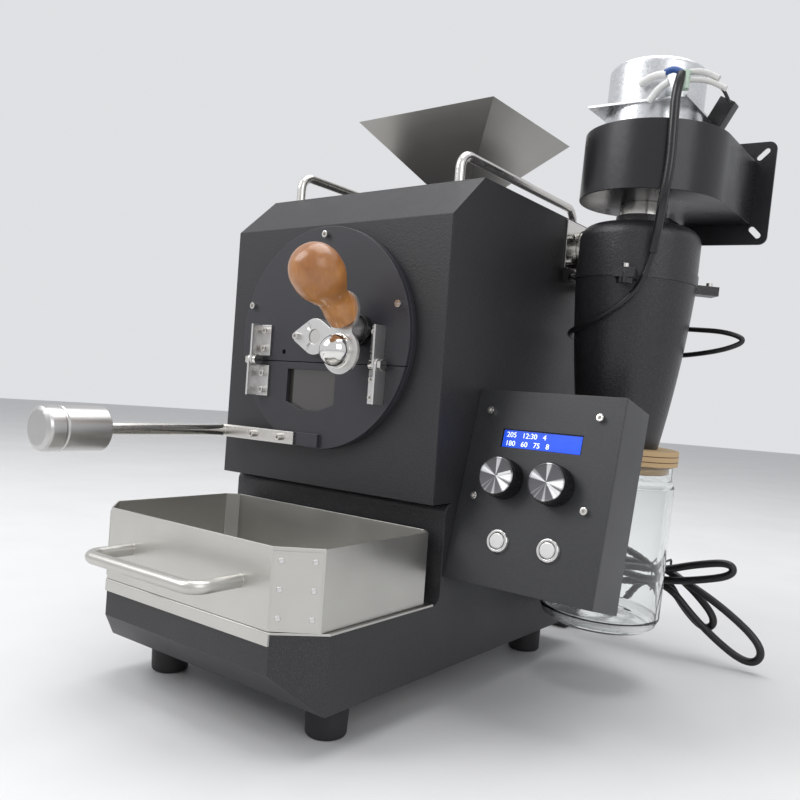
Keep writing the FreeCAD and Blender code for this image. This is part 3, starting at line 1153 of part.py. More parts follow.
def blower():
    x, y = CYCLONE
    low = "blower_rise"
    top = "(blower_rise + scroll_height)"
    outside = scroll_block("scroll_out", "0", low, "scroll_height")
    inside = scroll_block("scroll_in", "scroll_sheet", f"{low} + scroll_sheet", "scroll_height - scroll_sheet * 2")
    mouth = box("scroll_mouth", f"{x} + outlet_left + scroll_sheet", f"{y} + outlet_back - 3",
                f"{low} + scroll_sheet", "scroll_right - outlet_left - scroll_sheet * 2", 6,
                "scroll_height - scroll_sheet * 2")
    eye = rod("scroll_eye", "outlet_radius - pipe_wall", 6, x, y, f"{low} - 2")
    shaft = rod("scroll_shaft_hole", 6, 6, x, y, f"{top} - 4")
    lean("blower_scroll", cut("scroll", outside, inside, mouth, eye, shaft))

    middle = f"({x} + (outlet_left + scroll_right) / 2)"
    mid_z = "(blower_rise + scroll_height / 2)"
    sheet_plate = box("blower_plate", f"{middle} - blower_flange / 2", f"{y} + outlet_back",
                      f"{mid_z} - blower_flange / 2", "blower_flange", "blower_flange_sheet", "blower_flange")

    def corner(edge, point):
        return along_axis(edge, Vector(0, 1, 0))

    rounded_plate = rounded("blower_plate_round", sheet_plate, 7, corner)
    window = box("blower_window", f"{x} + outlet_left + scroll_sheet", f"{y} + outlet_back - 1",
                 f"{low} + scroll_sheet", "scroll_right - outlet_left - scroll_sheet * 2",
                 "blower_flange_sheet + 2", "scroll_height - scroll_sheet * 2")
    slot = fuse("flange_slot", box("slot_middle", -4, -4, "-2.6", 8, 8, 5.2),
                rod("slot_end_a", 2.6, 8, -4, -4, 0, "Y"), rod("slot_end_b", 2.6, 8, 4, -4, 0, "Y"))
    slots = []
    for across in (-1, 1):
        for up in (-1, 1):
            slots.append(again(slot, f"slot_{across}_{up}", f"{middle} + {across} * blower_slot_pitch / 2",
                               f"{y} + outlet_back", f"{mid_z} + {up} * blower_slot_pitch / 2", (0, 1, 0),
                               -45 * across * up))
    lean("blower_flange", cut("blower_flange_cut", rounded_plate, window, *slots))

    can_low = rod("can_lower", "can_radius", "can_low", x, y, top)
    deck = f"({top} + can_low)"
    plate_box = box("motor_square", f"{x} - motor_plate / 2", f"{y} - motor_plate / 2", deck, "motor_plate",
                    "motor_plate", "motor_plate_sheet")
    can_high = rod("can_upper", "can_radius", "can_high", x, y, f"{deck} + motor_plate_sheet")

    def rim(edge, point):
        high = abs(point.z - value(f"{deck} + motor_plate_sheet + can_high")) < 0.01
        return high and edge.Curve.TypeId == "Part::GeomCircle"

    upper = rounded("can_upper_round", can_high, "can_round", rim)
    shaft_bore = rod("motor_shaft_bore", 3.05, 12, x, y, f"{top} - 1")
    lean("blower_motor", cut("motor_bored_low", fuse("motor_cans", can_low, plate_box, upper), shaft_bore))

    wheel_low = f"({low} + 7)"
    disc = rod("wheel_back", "impeller_radius", 2, x, y, f"{wheel_low} + impeller_height - 2")
    ring = tube("wheel_ring", "impeller_radius", "impeller_radius - 7", 2, x, y, wheel_low)
    hub = rod("wheel_hub", 7, 14, x, y, f"{wheel_low} + impeller_height - 14")
    shaft_rod = rod("wheel_shaft", 3, 20, x, y, f"{wheel_low} + impeller_height - 2")
    blades = []
    for index in range(16):
        blade = box(f"wheel_blade{index}", "impeller_radius - 7", -0.5, 0, 7, 1, "impeller_height - 1")
        blades.append(again(blade, f"wheel_blade{index}_set", x, y, wheel_low, (0, 0, 1), index * 22.5))
    trim = rod("wheel_trim", "impeller_radius", "impeller_height + 30", x, y, wheel_low)
    wheel = fuse("wheel", disc, ring, hub, shaft_rod, *blades)
    lean("blower_impeller", common("impeller", wheel, trim))

    case = box("capacitor_case", 0, 0, 0, 14, 12, 26)
    tilted = group("capacitor_tilted", case)
    put(tilted, f"{x} + 44", f"{y} - 6", f"{top} + 7.2", (0, 1, 0), 28)
    lean("capacitor_box", tilted)


# Control box on the right side

def tilt(label, item):
    """Set a finished piece of the control box in its leaning place on the side wall."""
    holder = group(label + "_set", item)
    return keep(label, put(holder, "house_half", "control_front", "control_low", (1, 0, 0), "-control_tilt"))


def control_box():
    wall = "sheet_wall"
    outside = box("control_out", 0, wall, 0, "control_width", "control_thick - sheet_wall", "control_height")
    inside = box("control_in", wall, "0", wall, "control_width - sheet_wall * 2", f"control_thick - {wall}",
                 "control_height - sheet_wall * 2")
    tilt("control_case", cut("control_hollow", outside, inside))

    face = box("control_sheet", 0, 0, 0, "control_width", wall, "control_height")
    window = box("lcd_hole", "lcd_side - lcd_width / 2", -1, "lcd_rise - lcd_height / 2", "lcd_width", 5, "lcd_height")
    holes = [window]
    for side in ("left", "right"):
        holes.append(rod(f"dial_hole_{side}", "dial_shaft + seat_gap", 5, f"dial_{side}", -1, "dial_rise", "Y"))
        holes.append(rod(f"button_hole_{side}", "button_ring - 1.4", 5, f"button_{side}", -1, "button_rise", "Y"))
    tilt("control_face", cut("control_face_cut", face, *holes))
    pots, rings = [], []
    for side in ("left", "right"):
        can = rod(f"pot_can_{side}", 8, 9, f"dial_{side}", wall, "dial_rise", "Y")
        bore = rod(f"pot_bore_{side}", "dial_shaft + seat_gap", 7, f"dial_{side}", wall, "dial_rise", "Y")
        pots.append(cut(f"pot_{side}", can, bore))
        cap = rod(f"dial_cap_{side}", "dial_radius", "dial_height", f"dial_{side}", "-dial_height - dial_stand",
                  "dial_rise", "Y")

        def front_rim(edge, point):
            flat = abs(point.y + value("dial_height + dial_stand")) < 0.01
            return flat and edge.Curve.TypeId == "Part::GeomCircle"

        soft = rounded(f"dial_round_{side}", cap, 0.8, front_rim)
        shaft = rod(f"dial_shaft_{side}", "dial_shaft", "dial_stand + sheet_wall + 6", f"dial_{side}", "-dial_stand",
                    "dial_rise", "Y")
        tilt(f"{side}_dial", fuse(f"dial_{side}_turned", soft, shaft))

        ring = fuse(f"ring_solid_{side}",
                    cone(f"ring_flare_{side}", "button_ring - 1", "button_ring", "button_stand", f"button_{side}",
                         "-button_stand", "button_rise", "Y"),
                    rod(f"ring_barrel_{side}", "button_ring - 1.6", 16, f"button_{side}", 0, "button_rise", "Y"))
        bore = rod(f"ring_bore_{side}", "button_radius + seat_gap", "12 + button_stand", f"button_{side}",
                   "-button_stand", "button_rise", "Y")
        rings.append(cut(f"ring_{side}", ring, bore))
        push = rod(f"push_{side}", "button_radius", 9, f"button_{side}", "-button_stand - 0.6", "button_rise", "Y")
        tilt(f"{side}_button", push)
    lcd = box("lcd", "lcd_side - 40", wall, "lcd_rise - 18", 80, 8, 36)
    tilt("lcd_and_dial_board", group("electronics", lcd, *pots))
    tilt("button_rings", group("rings", *rings))


# Cables

def route(points):
    """A wire of straight runs joined by tangent arcs, each as large as its two runs allow."""
    points = [Vector(*point) for point in points]
    edges, here, radii = [], points[0], []
    for before, corner, after in zip(points, points[1:], points[2:]):
        back, ahead = before - corner, after - corner
        turn = math.pi - back.getAngle(ahead)
        cutback = 0.45 * min(back.Length, ahead.Length)
        radii.append(cutback / math.tan(turn / 2))
        first = corner + back.normalize() * cutback
        last = corner + ahead.normalize() * cutback
        bisector = (back + ahead).normalize()
        centre_way = math.hypot(radii[-1], cutback)
        middle = corner + bisector * (centre_way - radii[-1])
        edges.append(Part.LineSegment(here, first).toShape())
        edges.append(Part.Arc(first, middle, last).toShape())
        here = last
    edges.append(Part.LineSegment(here, points[-1]).toShape())
    return Part.Wire(edges), radii


# The motor lead: out of the tie on the motor, down over the scroll and the cyclone's front,
# round the cyclone's left side, out in a loop on its right, back behind it and into the wall
LEAD_SLEEVE = [(226, 141, 503), (225, 134, 490), (225, 133, 462), (225, 133, 430), (221, 133, 402), (216, 140, 382),
               (213, 141, 362)]
LEAD_CORE = [(213, 141, 362), (209, 141, 348), (203, 139, 334), (192, 137, 322), (174, 137, 311), (154, 142, 304),
             (136, 160, 300), (126, 190, 299), (136, 222, 297), (164, 242, 292), (200, 241, 288), (225, 228, 289),
             (252, 226, 294), (268, 226, 302), (250, 227, 309), (222, 230, 311), (184, 247, 314), (147, 234, 320),
             (129, 213, 334), (128, 191, 356), (113, 191, 356)]

# The mains lead: out of the gland, into the hank behind the jar, and on to the plug on the table
MAINS_START = [(100, 281, 74), (100, 300, 74), (136, 300, 79), (166, 301, 83), (184, 308, 81.3)]
TIE = (184, 76)
HANK_LOOPS = [(68, -16, 15, 0, 0), (92, 192, 24, 0, 1), (110, 34, 30, 1, 1), (84, 176, 22, 1, 2), (62, 44, 20, 2, 2)]
HANK_ROWS = (308, 316.6, 325.2)
STRAND_SIDE = 5.3
MAINS_END = [(184, 325.2, 70.7), (158, 330, 62), (136, 333, 34), (122, 331, 14), (104, 328, 9.5), (92, 328, 9.5)]


def hank_points():
    """Each loop of the hank leaves the tie, swells to its tip and comes back, row by row in depth."""
    middle_x, middle_z = TIE
    points = [(middle_x, HANK_ROWS[0], middle_z + STRAND_SIDE)]
    for reach, fall, width, row_out, row_back in HANK_LOOPS:
        turn = math.radians(fall)
        along = (math.cos(turn), -math.sin(turn))
        across = (math.sin(turn), math.cos(turn))
        for share, side, row in ((0.5, 0.5, row_out), (1, 0.42, row_out), (1, -0.42, row_back),
                                 (0.5, -0.5, row_back)):
            points.append((middle_x + along[0] * reach * share + across[0] * width * side, HANK_ROWS[row],
                           middle_z + along[1] * reach * share + across[1] * width * side))
        back = -STRAND_SIDE if abs(fall) < 90 else STRAND_SIDE
        points.append((middle_x, HANK_ROWS[row_back], middle_z + back))
    return points


def least_gap(wire, radius):
    """The smallest gap between two stretches of a cable that aren't next to each other."""
    count = int(wire.Length / 4)
    points = wire.discretize(count)
    clear = max(4, int(radius * 2.6 / 4) + 3)
    gaps = [first.distanceToPoint(second) for index, first in enumerate(points) for second in points[index + clear:]]
    return min(gaps) - radius * 2


def cable(label, points, radius):
    """A round cable along a route."""
    wire, radii = route(points)
    start = wire.Edges[0]
    direction = start.tangentAt(start.FirstParameter)
    circle = Part.Wire(Part.makeCircle(radius, start.valueAt(start.FirstParameter), direction))
    shape = wire.makePipeShell([circle], True, False)
    share = shape.Volume / (math.pi * radius ** 2 * wire.Length)
    print(f"{label}: length {wire.Length:.0f} mm, least gap to itself {least_gap(wire, radius):.2f} mm,",
          f"tightest bend {min(radii):.1f} mm, lowest {shape.BoundBox.ZMin:.2f}, volume share {share:.4f}")
    return shape


def cables():
    sleeve = cable("lead sleeve", LEAD_SLEEVE, value("sleeve_radius"))
    core = cable("lead core", LEAD_CORE, value("lead_radius"))
    keep("motor_lead", solid_of("motor_lead", sleeve.fuse(core)))
    mains = value("mains_radius")
    route_points = MAINS_START + hank_points()[1:] + MAINS_END[1:]
    keep("mains_cord", solid_of("mains_cord", cable("mains cord", route_points, mains)))

    gland_back = "(house_depth + sheet_wall * 0)"
    nut = prism("gland_nut", 6, "mains_radius + 6", 7, 0, 0, 0, "Z")
    neck = cone("gland_neck", "mains_radius + 4.5", "mains_radius + 2", 9, 0, 0, 7)
    barrel = rod("gland_barrel", "mains_radius + 2.2", 6, 0, 0, -5)
    bore = rod("gland_bore", "mains_radius + 0.4", 40, 0, 0, -10)
    gland = put(group("gland_place", cut("gland", fuse("gland_solid", nut, neck, barrel), bore)),
                "house_half - 15", gland_back, f"{FLOOR} + 45", (1, 0, 0), -90)
    clip = cut("lead_clip", box("clip_block", "house_half", 184, 350, 5, 14, 11),
               rod("clip_hole", "lead_radius + 0.4", 12, "house_half - 2", 191, 356, "X"))
    keep("cord_glands", group("glands", gland, clip))

    body = box("plug_body", 50, 310, 0.3, 34, 36, 18)

    def long_edge(edge, point):
        return along_axis(edge, Vector(1, 0, 0))

    soft = rounded("plug_round", body, 5, long_edge)
    relief = cone("plug_relief", 7, "mains_radius + 1", 14, 84, 328, 9.5, "X")
    relief_bore = rod("plug_bore", "mains_radius + 0.3", 30, 80, 328, 9.5, "X")
    pins = [rod(f"plug_pin{side}", 2, 19, 31, f"328 + {side} * 9.5", 9.5, "X") for side in (-1, 1)]
    keep("mains_plug", fuse("plug", cut("plug_bored", fuse("plug_soft", soft, relief), relief_bore), *pins))


lower_body()
cooling_deck()
upper_housing()
drum_front()
bolts = hinges()
discharge_door()
door_lever()
drum()
duct = chamber()
sampler()
screws(bolts)
hopper()
tray()
exhaust(duct)
cyclone()
jar()
blower()
control_box()
doc.recompute()
cables()
doc.recompute()

CORD_NODES = ("motor_lead", "mains_cord", "mains_plug")


def check_and_write():
    """Check every object, set the standing origin under the middle of the part and write the files."""
    for item in doc.Objects:
        if "Invalid" in item.State or "Error" in item.State:
            raise RuntimeError(f"{item.Name} failed: {item.State}")
    shapes = {}
    for label, item in NODES.items():
        shape = Part.getShape(item)
        if shape.isNull() or not shape.isValid() or not shape.Solids:
            raise RuntimeError(label + " has no valid solid")
        shapes[label] = shape.copy()
    bounds = FreeCAD.BoundBox()
    for label, shape in shapes.items():
        if label not in CORD_NODES:
            bounds.add(shape.optimalBoundingBox(False) if hasattr(shape, "optimalBoundingBox") else shape.BoundBox)
    shift = Vector(-bounds.Center.x, -bounds.Center.y, 0)
    print(f"origin shift {shift.x:.4f} {shift.y:.4f}, size {bounds.XLength:.1f} x {bounds.YLength:.1f} x",
          f"{bounds.ZMax:.1f}, {len(shapes)} nodes")
    os.makedirs("parts", exist_ok=True)
    for label, shape in shapes.items():
        shape.translate(shift)
        shape.exportStep(f"parts/{label}.step")


check_and_write()
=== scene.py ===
"""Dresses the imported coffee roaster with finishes, cords and fine parts, and sets the stage and camera."""
import json
import math

import bmesh
import bpy
from bpy.props import FloatProperty, FloatVectorProperty, PointerProperty, StringProperty
from mathutils import Matrix, Vector

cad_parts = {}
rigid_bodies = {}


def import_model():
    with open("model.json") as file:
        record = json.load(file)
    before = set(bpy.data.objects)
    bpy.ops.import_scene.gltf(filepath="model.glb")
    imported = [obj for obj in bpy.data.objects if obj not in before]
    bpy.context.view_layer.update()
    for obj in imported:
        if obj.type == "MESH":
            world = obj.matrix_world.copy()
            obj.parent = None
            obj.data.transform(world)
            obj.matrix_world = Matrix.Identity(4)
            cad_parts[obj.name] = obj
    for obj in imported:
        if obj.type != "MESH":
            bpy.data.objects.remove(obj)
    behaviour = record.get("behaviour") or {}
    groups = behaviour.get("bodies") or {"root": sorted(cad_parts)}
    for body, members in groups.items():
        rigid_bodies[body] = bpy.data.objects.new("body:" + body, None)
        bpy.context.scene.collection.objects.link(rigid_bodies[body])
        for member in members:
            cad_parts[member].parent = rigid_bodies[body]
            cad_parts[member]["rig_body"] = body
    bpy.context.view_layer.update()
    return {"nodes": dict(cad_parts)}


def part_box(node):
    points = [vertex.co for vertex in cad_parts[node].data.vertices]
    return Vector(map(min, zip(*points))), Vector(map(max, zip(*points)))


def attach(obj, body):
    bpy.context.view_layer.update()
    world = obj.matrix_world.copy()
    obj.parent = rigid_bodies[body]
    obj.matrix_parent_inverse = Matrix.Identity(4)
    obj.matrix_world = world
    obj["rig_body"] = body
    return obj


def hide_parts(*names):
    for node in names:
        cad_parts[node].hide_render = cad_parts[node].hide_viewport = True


bl_info = {
    "name": "Coffee Roaster Dressing",
    "version": (1, 0, 0),
    "blender": (4, 5, 0),
    "location": "3D View > Sidebar > Roaster",
    "description": "Finishes, cords and fine parts for a home drum coffee roaster",
    "category": "Object",
}

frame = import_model()

MM = 0.001
PIPE_START = (115, 223, 383)
STACK_LEAN = 2.4
CYCLONE_PLACE = (68, -34, 0)
CONTROL_CORNER = (115, 20.3, 101.4)
CONTROL_TILT = -14.05
PANEL_LOW, PANEL_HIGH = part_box("front_panel")
HOUSING = Matrix.Translation(((PANEL_LOW.x + PANEL_HIGH.x) / 2, PANEL_LOW.y, 0)) @ Matrix.Scale(MM, 4)
STACK = HOUSING @ Matrix.Translation(PIPE_START) @ Matrix.Rotation(math.radians(STACK_LEAN), 4, "Y")
CYCLONE = STACK @ Matrix.Translation(CYCLONE_PLACE)
FORWARD = Matrix.Rotation(math.radians(90), 4, "X")
PANEL = HOUSING @ Matrix.Translation(CONTROL_CORNER) @ Matrix.Rotation(math.radians(CONTROL_TILT), 4, "X")

# Places and sizes in the housing's millimetres, but for the sleeve's length in metres

STRIP_SHEET = 0.7
TRAY_FRONT_CORNER = (86.7, -131.4)
TRAY_SIDE_CORNER = (111.8, -109.3)
LUG_KNOB_TURN = -76
LUG_KNOB_PLACE = (64.5, 0, -43)
LID_TOP = -34.5 - 140
GLUE_LINE_DROPS = (4.6, 9.2)
DIALS = (("left", 36.9, -70), ("right", 77.5, -125))
DIAL_RISE = 79.3
DIAL_STAND = 0.8
CAMERA_PLACE = (447.3, -487.8, 236.5)
SLEEVE_LENGTH = 0.145


# Shader effects that several finishes share

def add_node(tree, kind, sockets=None, **settings):
    """Adds a shader node with its settings, and its sockets' values or links."""
    made = tree.nodes.new("ShaderNode" + kind)
    for key, setting in settings.items():
        setattr(made, key, setting)
    for key, wanted in (sockets or {}).items():
        if isinstance(wanted, bpy.types.NodeSocket):
            tree.links.new(wanted, made.inputs[key])
        else:
            made.inputs[key].default_value = wanted
    return made


def effect(name, inputs, outputs, fill):
    """A node group of that name. fill(tree, given) returns the sockets for its outputs."""
    tree = bpy.data.node_groups.get(name)
    if tree:
        return tree
    tree = bpy.data.node_groups.new(name, "ShaderNodeTree")
    for label, default in inputs.items():
        kind = "NodeSocketVector" if default is None else "NodeSocketFloat"
        socket = tree.interface.new_socket(label, in_out="INPUT", socket_type=kind)
        if default is not None:
            socket.default_value = default
    for label in outputs:
        tree.interface.new_socket(label, in_out="OUTPUT", socket_type="NodeSocketFloat")
    given = tree.nodes.new("NodeGroupInput").outputs
    result = tree.nodes.new("NodeGroupOutput").inputs
    for label, socket in zip(outputs, fill(tree, given)):
        tree.links.new(socket, result[label])
    return tree


def fill_pebble(tree, given):
    """Noise less rounded cells, with a mask of the highest points, which powder coats colour lighter as
    painted highlights.
    """
    coarse = add_node(tree, "TexNoise", {"Vector": given["Vector"], "Scale": given["Scale"], "Detail": 3,
                                         "Roughness": 0.6})
    double = add_node(tree, "Math", {0: given["Scale"], 1: 0.45}, operation="MULTIPLY")
    cells = add_node(tree, "TexVoronoi", {"Vector": given["Vector"], "Scale": double.outputs[0]})
    height = add_node(tree, "Math", {0: coarse.outputs[0], 1: cells.outputs["Distance"]},
                      operation="SUBTRACT")
    # Painted highlight mask: the high points of the noise that also raises the bump.
    bright = add_node(tree, "MapRange", {"Value": coarse.outputs[0], "From Min": 0.52, "From Max": 0.72})
    return bright.outputs[0], height.outputs[0]


def fill_streaks(tree, given):
    """Fine lines along the stretched way, and the same broken up by broad patches."""
    stretch = add_node(tree, "Mapping", {"Vector": given["Vector"], "Scale": given["Grain"]})
    lines = add_node(tree, "TexNoise", {"Vector": stretch.outputs[0], "Scale": 1, "Detail": 4,
                                        "Roughness": 0.7})
    broad = add_node(tree, "TexNoise", {"Vector": given["Vector"], "Scale": 14, "Detail": 2})
    mixed = add_node(tree, "Math", {0: lines.outputs[0], 1: broad.outputs[0]}, operation="MULTIPLY")
    return lines.outputs[0], mixed.outputs[0]


def fill_handling(tree, given):
    """Soft clouds, as use and wiping leave."""
    cloud = add_node(tree, "TexNoise", {"Vector": given["Vector"], "Scale": given["Scale"], "Detail": 5,
                                        "Roughness": 0.55})
    marks = add_node(tree, "MapRange", {"Value": cloud.outputs[0], "From Min": 0.35, "From Max": 0.7})
    return (marks.outputs[0],)


def fill_fibres(tree, given):
    """Bands that fold back and forth, and fine fibres along them."""
    long_way = add_node(tree, "Mapping", {"Vector": given["Vector"], "Scale": given["Grain"]})
    bands = add_node(tree, "TexNoise", {"Vector": long_way.outputs[0], "Scale": 1, "Detail": 3,
                                        "Distortion": 0.6})
    waves = add_node(tree, "Math", {0: bands.outputs[0], 1: given["Rings"]}, operation="MULTIPLY")
    rings = add_node(tree, "Math", {0: waves.outputs[0], 1: 1}, operation="PINGPONG")
    fine = add_node(tree, "TexNoise", {"Vector": long_way.outputs[0], "Scale": 9, "Detail": 3})
    return rings.outputs[0], fine.outputs[0]


def place_group(tree, group, sockets):
    """Puts a shared group in a material, with its sockets' values or links."""
    made = tree.nodes.new("ShaderNodeGroup")
    made.node_tree = group
    for key, wanted in sockets.items():
        if isinstance(wanted, bpy.types.NodeSocket):
            tree.links.new(wanted, made.inputs[key])
        else:
            made.inputs[key].default_value = wanted
    return made


def pebble(tree, vector, scale):
    """The pebbled skin's painted highlight mask on its high points, and its height."""
    group = effect("Coat Pebble", {"Vector": None, "Scale": 900}, ("Painted Highlights", "Height"), fill_pebble)
    return place_group(tree, group, {"Vector": vector, "Scale": scale})


def streaks(tree, vector, grain):
    """The streaks' lines and broad patches."""
    group = effect("Drawn Streaks", {"Vector": None, "Grain": None}, ("Lines", "Broad"), fill_streaks)
    return place_group(tree, group, {"Vector": vector, "Grain": grain})


def handling(tree, vector, scale=9):
    """A mask of handling marks."""
    group = effect("Handling Marks", {"Vector": None, "Scale": 9}, ("Marks",), fill_handling)
    return place_group(tree, group, {"Vector": vector, "Scale": scale}).outputs["Marks"]


def fibres(tree, vector, grain, rings):
    """The wood's rings and fine fibres."""
    inputs = {"Vector": None, "Grain": None, "Rings": 8}
    group = effect("Wood Fibres", inputs, ("Rings", "Fine"), fill_fibres)
    return place_group(tree, group, {"Vector": vector, "Grain": grain, "Rings": rings})


def blank_finish(name, **plain):
    """A new material with its Principled shader and object coordinates."""
    material = bpy.data.materials.new(name)
    material.use_nodes = True
    tree = material.node_tree
    shader = tree.nodes["Principled BSDF"]
    for key, setting in plain.items():
        shader.inputs[key.replace("_", " ").title().replace("Ior", "IOR")].default_value = setting
    return material, tree, shader, add_node(tree, "TexCoord").outputs["Object"]


def blend_colours(tree, share, first, second):
    """A colour between two, by a share."""
    mix = add_node(tree, "Mix", data_type="RGBA")
    for index, wanted in ((0, share), (6, first), (7, second)):
        if isinstance(wanted, bpy.types.NodeSocket):
            tree.links.new(wanted, mix.inputs[index])
        else:
            mix.inputs[index].default_value = wanted if index == 0 else (*wanted, 1)
    return mix.outputs[2]


def spread(tree, source, low, high):
    """A mask from 0 to 1 as values from low to high."""
    return add_node(tree, "MapRange", {"Value": source, "To Min": low, "To Max": high}).outputs[0]


def bumped(tree, shader, height, depth, strength=1.0):
    """Raises a surface by a height, to a depth in metres."""
    bump = add_node(tree, "Bump", {"Height": height, "Distance": depth, "Strength": strength})
    tree.links.new(bump.outputs[0], shader.inputs["Normal"])


def powder(name, colour, painted_highlight, scale, rough, depth):
    """Textured powder coat: a pebbled skin whose high points are coloured lighter as painted highlights,
    over a real bump.
    """
    material, tree, shader, spot = blank_finish(name)
    grain = pebble(tree, spot, scale)
    marks = handling(tree, spot)
    # Painted highlight: the coat's high points take the lighter colour.
    shade = blend_colours(tree, grain.outputs["Painted Highlights"], colour, painted_highlight)
    tree.links.new(shade, shader.inputs["Base Color"])
    tree.links.new(spread(tree, marks, rough - 0.05, rough + 0.06), shader.inputs["Roughness"])
    bumped(tree, shader, grain.outputs["Height"], depth)
    return material


def drawn(name, colour, grain, rough, depth=0.00002, contrast=0.25):
    """Brushed or rolled metal, with streaks along one way."""
    material, tree, shader, spot = blank_finish(name, metallic=1.0)
    lines = streaks(tree, spot, grain)
    dark = tuple(part * (1 - contrast) for part in colour)
    shade = blend_colours(tree, lines.outputs["Lines"], dark, colour)
    marks = handling(tree, spot, 16)
    shade = blend_colours(tree, spread(tree, marks, 0, 0.22), shade, tuple(part * 0.7 for part in colour))
    tree.links.new(shade, shader.inputs["Base Color"])
    rough_mix = add_node(tree, "Math", {0: spread(tree, lines.outputs["Lines"], rough - 0.08, rough + 0.1),
                                        1: spread(tree, marks, -0.03, 0.05)}, operation="ADD")
    tree.links.new(rough_mix.outputs[0], shader.inputs["Roughness"])
    bumped(tree, shader, lines.outputs["Lines"], depth)
    return material


def moulded(name, colour, rough, metallic=0.0, depth=0.00003, scale=700, **plain):
    """Moulded, turned or rubber surfaces: faint texture and uneven gloss."""
    material, tree, shader, spot = blank_finish(name, metallic=metallic, **plain)
    grain = pebble(tree, spot, scale)
    marks = handling(tree, spot, 22)
    worn = tuple(min(1, part * 1.35) for part in colour)
    shade = blend_colours(tree, spread(tree, marks, 0, 0.35), colour, worn)
    tree.links.new(shade, shader.inputs["Base Color"])
    tree.links.new(spread(tree, marks, max(0.02, rough - 0.04), rough + 0.06), shader.inputs["Roughness"])
    bumped(tree, shader, grain.outputs["Height"], depth)
    return material


def spangled(name):
    """Bright galvanised sheet: angular crystals, each with its own grey."""
    material, tree, shader, spot = blank_finish(name, metallic=1.0)
    cells = add_node(tree, "TexVoronoi", {"Vector": spot, "Scale": 520, "Randomness": 1})
    grey = add_node(tree, "SeparateColor", {0: cells.outputs["Color"]})
    shade = blend_colours(tree, grey.outputs[0], (0.62, 0.63, 0.65), (0.7, 0.71, 0.72))
    tree.links.new(shade, shader.inputs["Base Color"])
    tree.links.new(spread(tree, grey.outputs[1], 0.26, 0.42), shader.inputs["Roughness"])
    marks = handling(tree, spot, 30)
    bumped(tree, shader, marks, 0.00006)
    return material


def wooden(name, light, dark, grain, rings, coat):
    """Varnished wood with its fibres and growth bands."""
    material, tree, shader, spot = blank_finish(name, coat_weight=coat, coat_roughness=0.16)
    wood = fibres(tree, spot, grain, rings)
    shade = blend_colours(tree, wood.outputs["Rings"], light, dark)
    shade = blend_colours(tree, spread(tree, wood.outputs["Fine"], -0.1, 0.5), shade,
                          tuple(part * 0.6 for part in dark))
    tree.links.new(shade, shader.inputs["Base Color"])
    tree.links.new(spread(tree, wood.outputs["Fine"], 0.3, 0.5), shader.inputs["Roughness"])
    bumped(tree, shader, wood.outputs["Fine"], 0.00008)
    return material


def spun(name):
    """A turned aluminium face whose light and dark sectors are painted reflection, standing in for the sheen
    that turning gives; turning itself leaves the fine rings in its gloss and height.
    """
    material, tree, shader = blank_finish(name, metallic=1.0)[:3]
    across = add_node(tree, "UVMap", uv_map="Ray").outputs[0]
    way = add_node(tree, "VectorMath", {0: across}, operation="NORMALIZE").outputs[0]
    reach = add_node(tree, "VectorMath", {0: across}, operation="LENGTH").outputs["Value"]
    painted_reflection_sectors = add_node(tree, "TexNoise", {"Vector": way, "Scale": 1.7, "Detail": 2})
    rings = add_node(tree, "TexNoise", {"W": reach, "Scale": 60, "Detail": 1}, noise_dimensions="1D")
    share = add_node(tree, "MapRange", {"Value": painted_reflection_sectors.outputs[0], "From Min": 0.47, "From Max": 0.62})
    # Painted reflection: dark and light by direction from the centre.
    shade = blend_colours(tree, share.outputs[0], (0.1, 0.1, 0.105), (0.72, 0.72, 0.73))
    tree.links.new(shade, shader.inputs["Base Color"])
    tree.links.new(spread(tree, rings.outputs[0], 0.28, 0.42), shader.inputs["Roughness"])
    bumped(tree, shader, rings.outputs[0], 0.000005)
    return material


def clear(name, colour, rough, ior=1.5):
    """Glass: a plain transmission with faint ripples."""
    material, tree, shader, spot = blank_finish(name, transmission_weight=1.0, ior=ior, metallic=0.0)
    shader.inputs["Base Color"].default_value = (*colour, 1)
    ripple = handling(tree, spot, 26)
    tree.links.new(spread(tree, ripple, rough, rough + 0.03), shader.inputs["Roughness"])
    bumped(tree, shader, ripple, 0.00005)
    return material


def lit(name, colour, strength):
    """A display's own light."""
    material, tree, shader, spot = blank_finish(name, emission_strength=strength)
    cloud = handling(tree, spot, 40)
    shade = blend_colours(tree, cloud, colour, tuple(min(1, part * 1.25) for part in colour))
    tree.links.new(shade, shader.inputs["Base Color"])
    tree.links.new(shade, shader.inputs["Emission Color"])
    shader.inputs["Roughness"].default_value = 0.25
    return material


def finish(name):
    """The finish of that name, made when it is first asked for."""
    return bpy.data.materials.get(name) or RECIPES[name](name, bpy.context.scene.roaster_finishes)


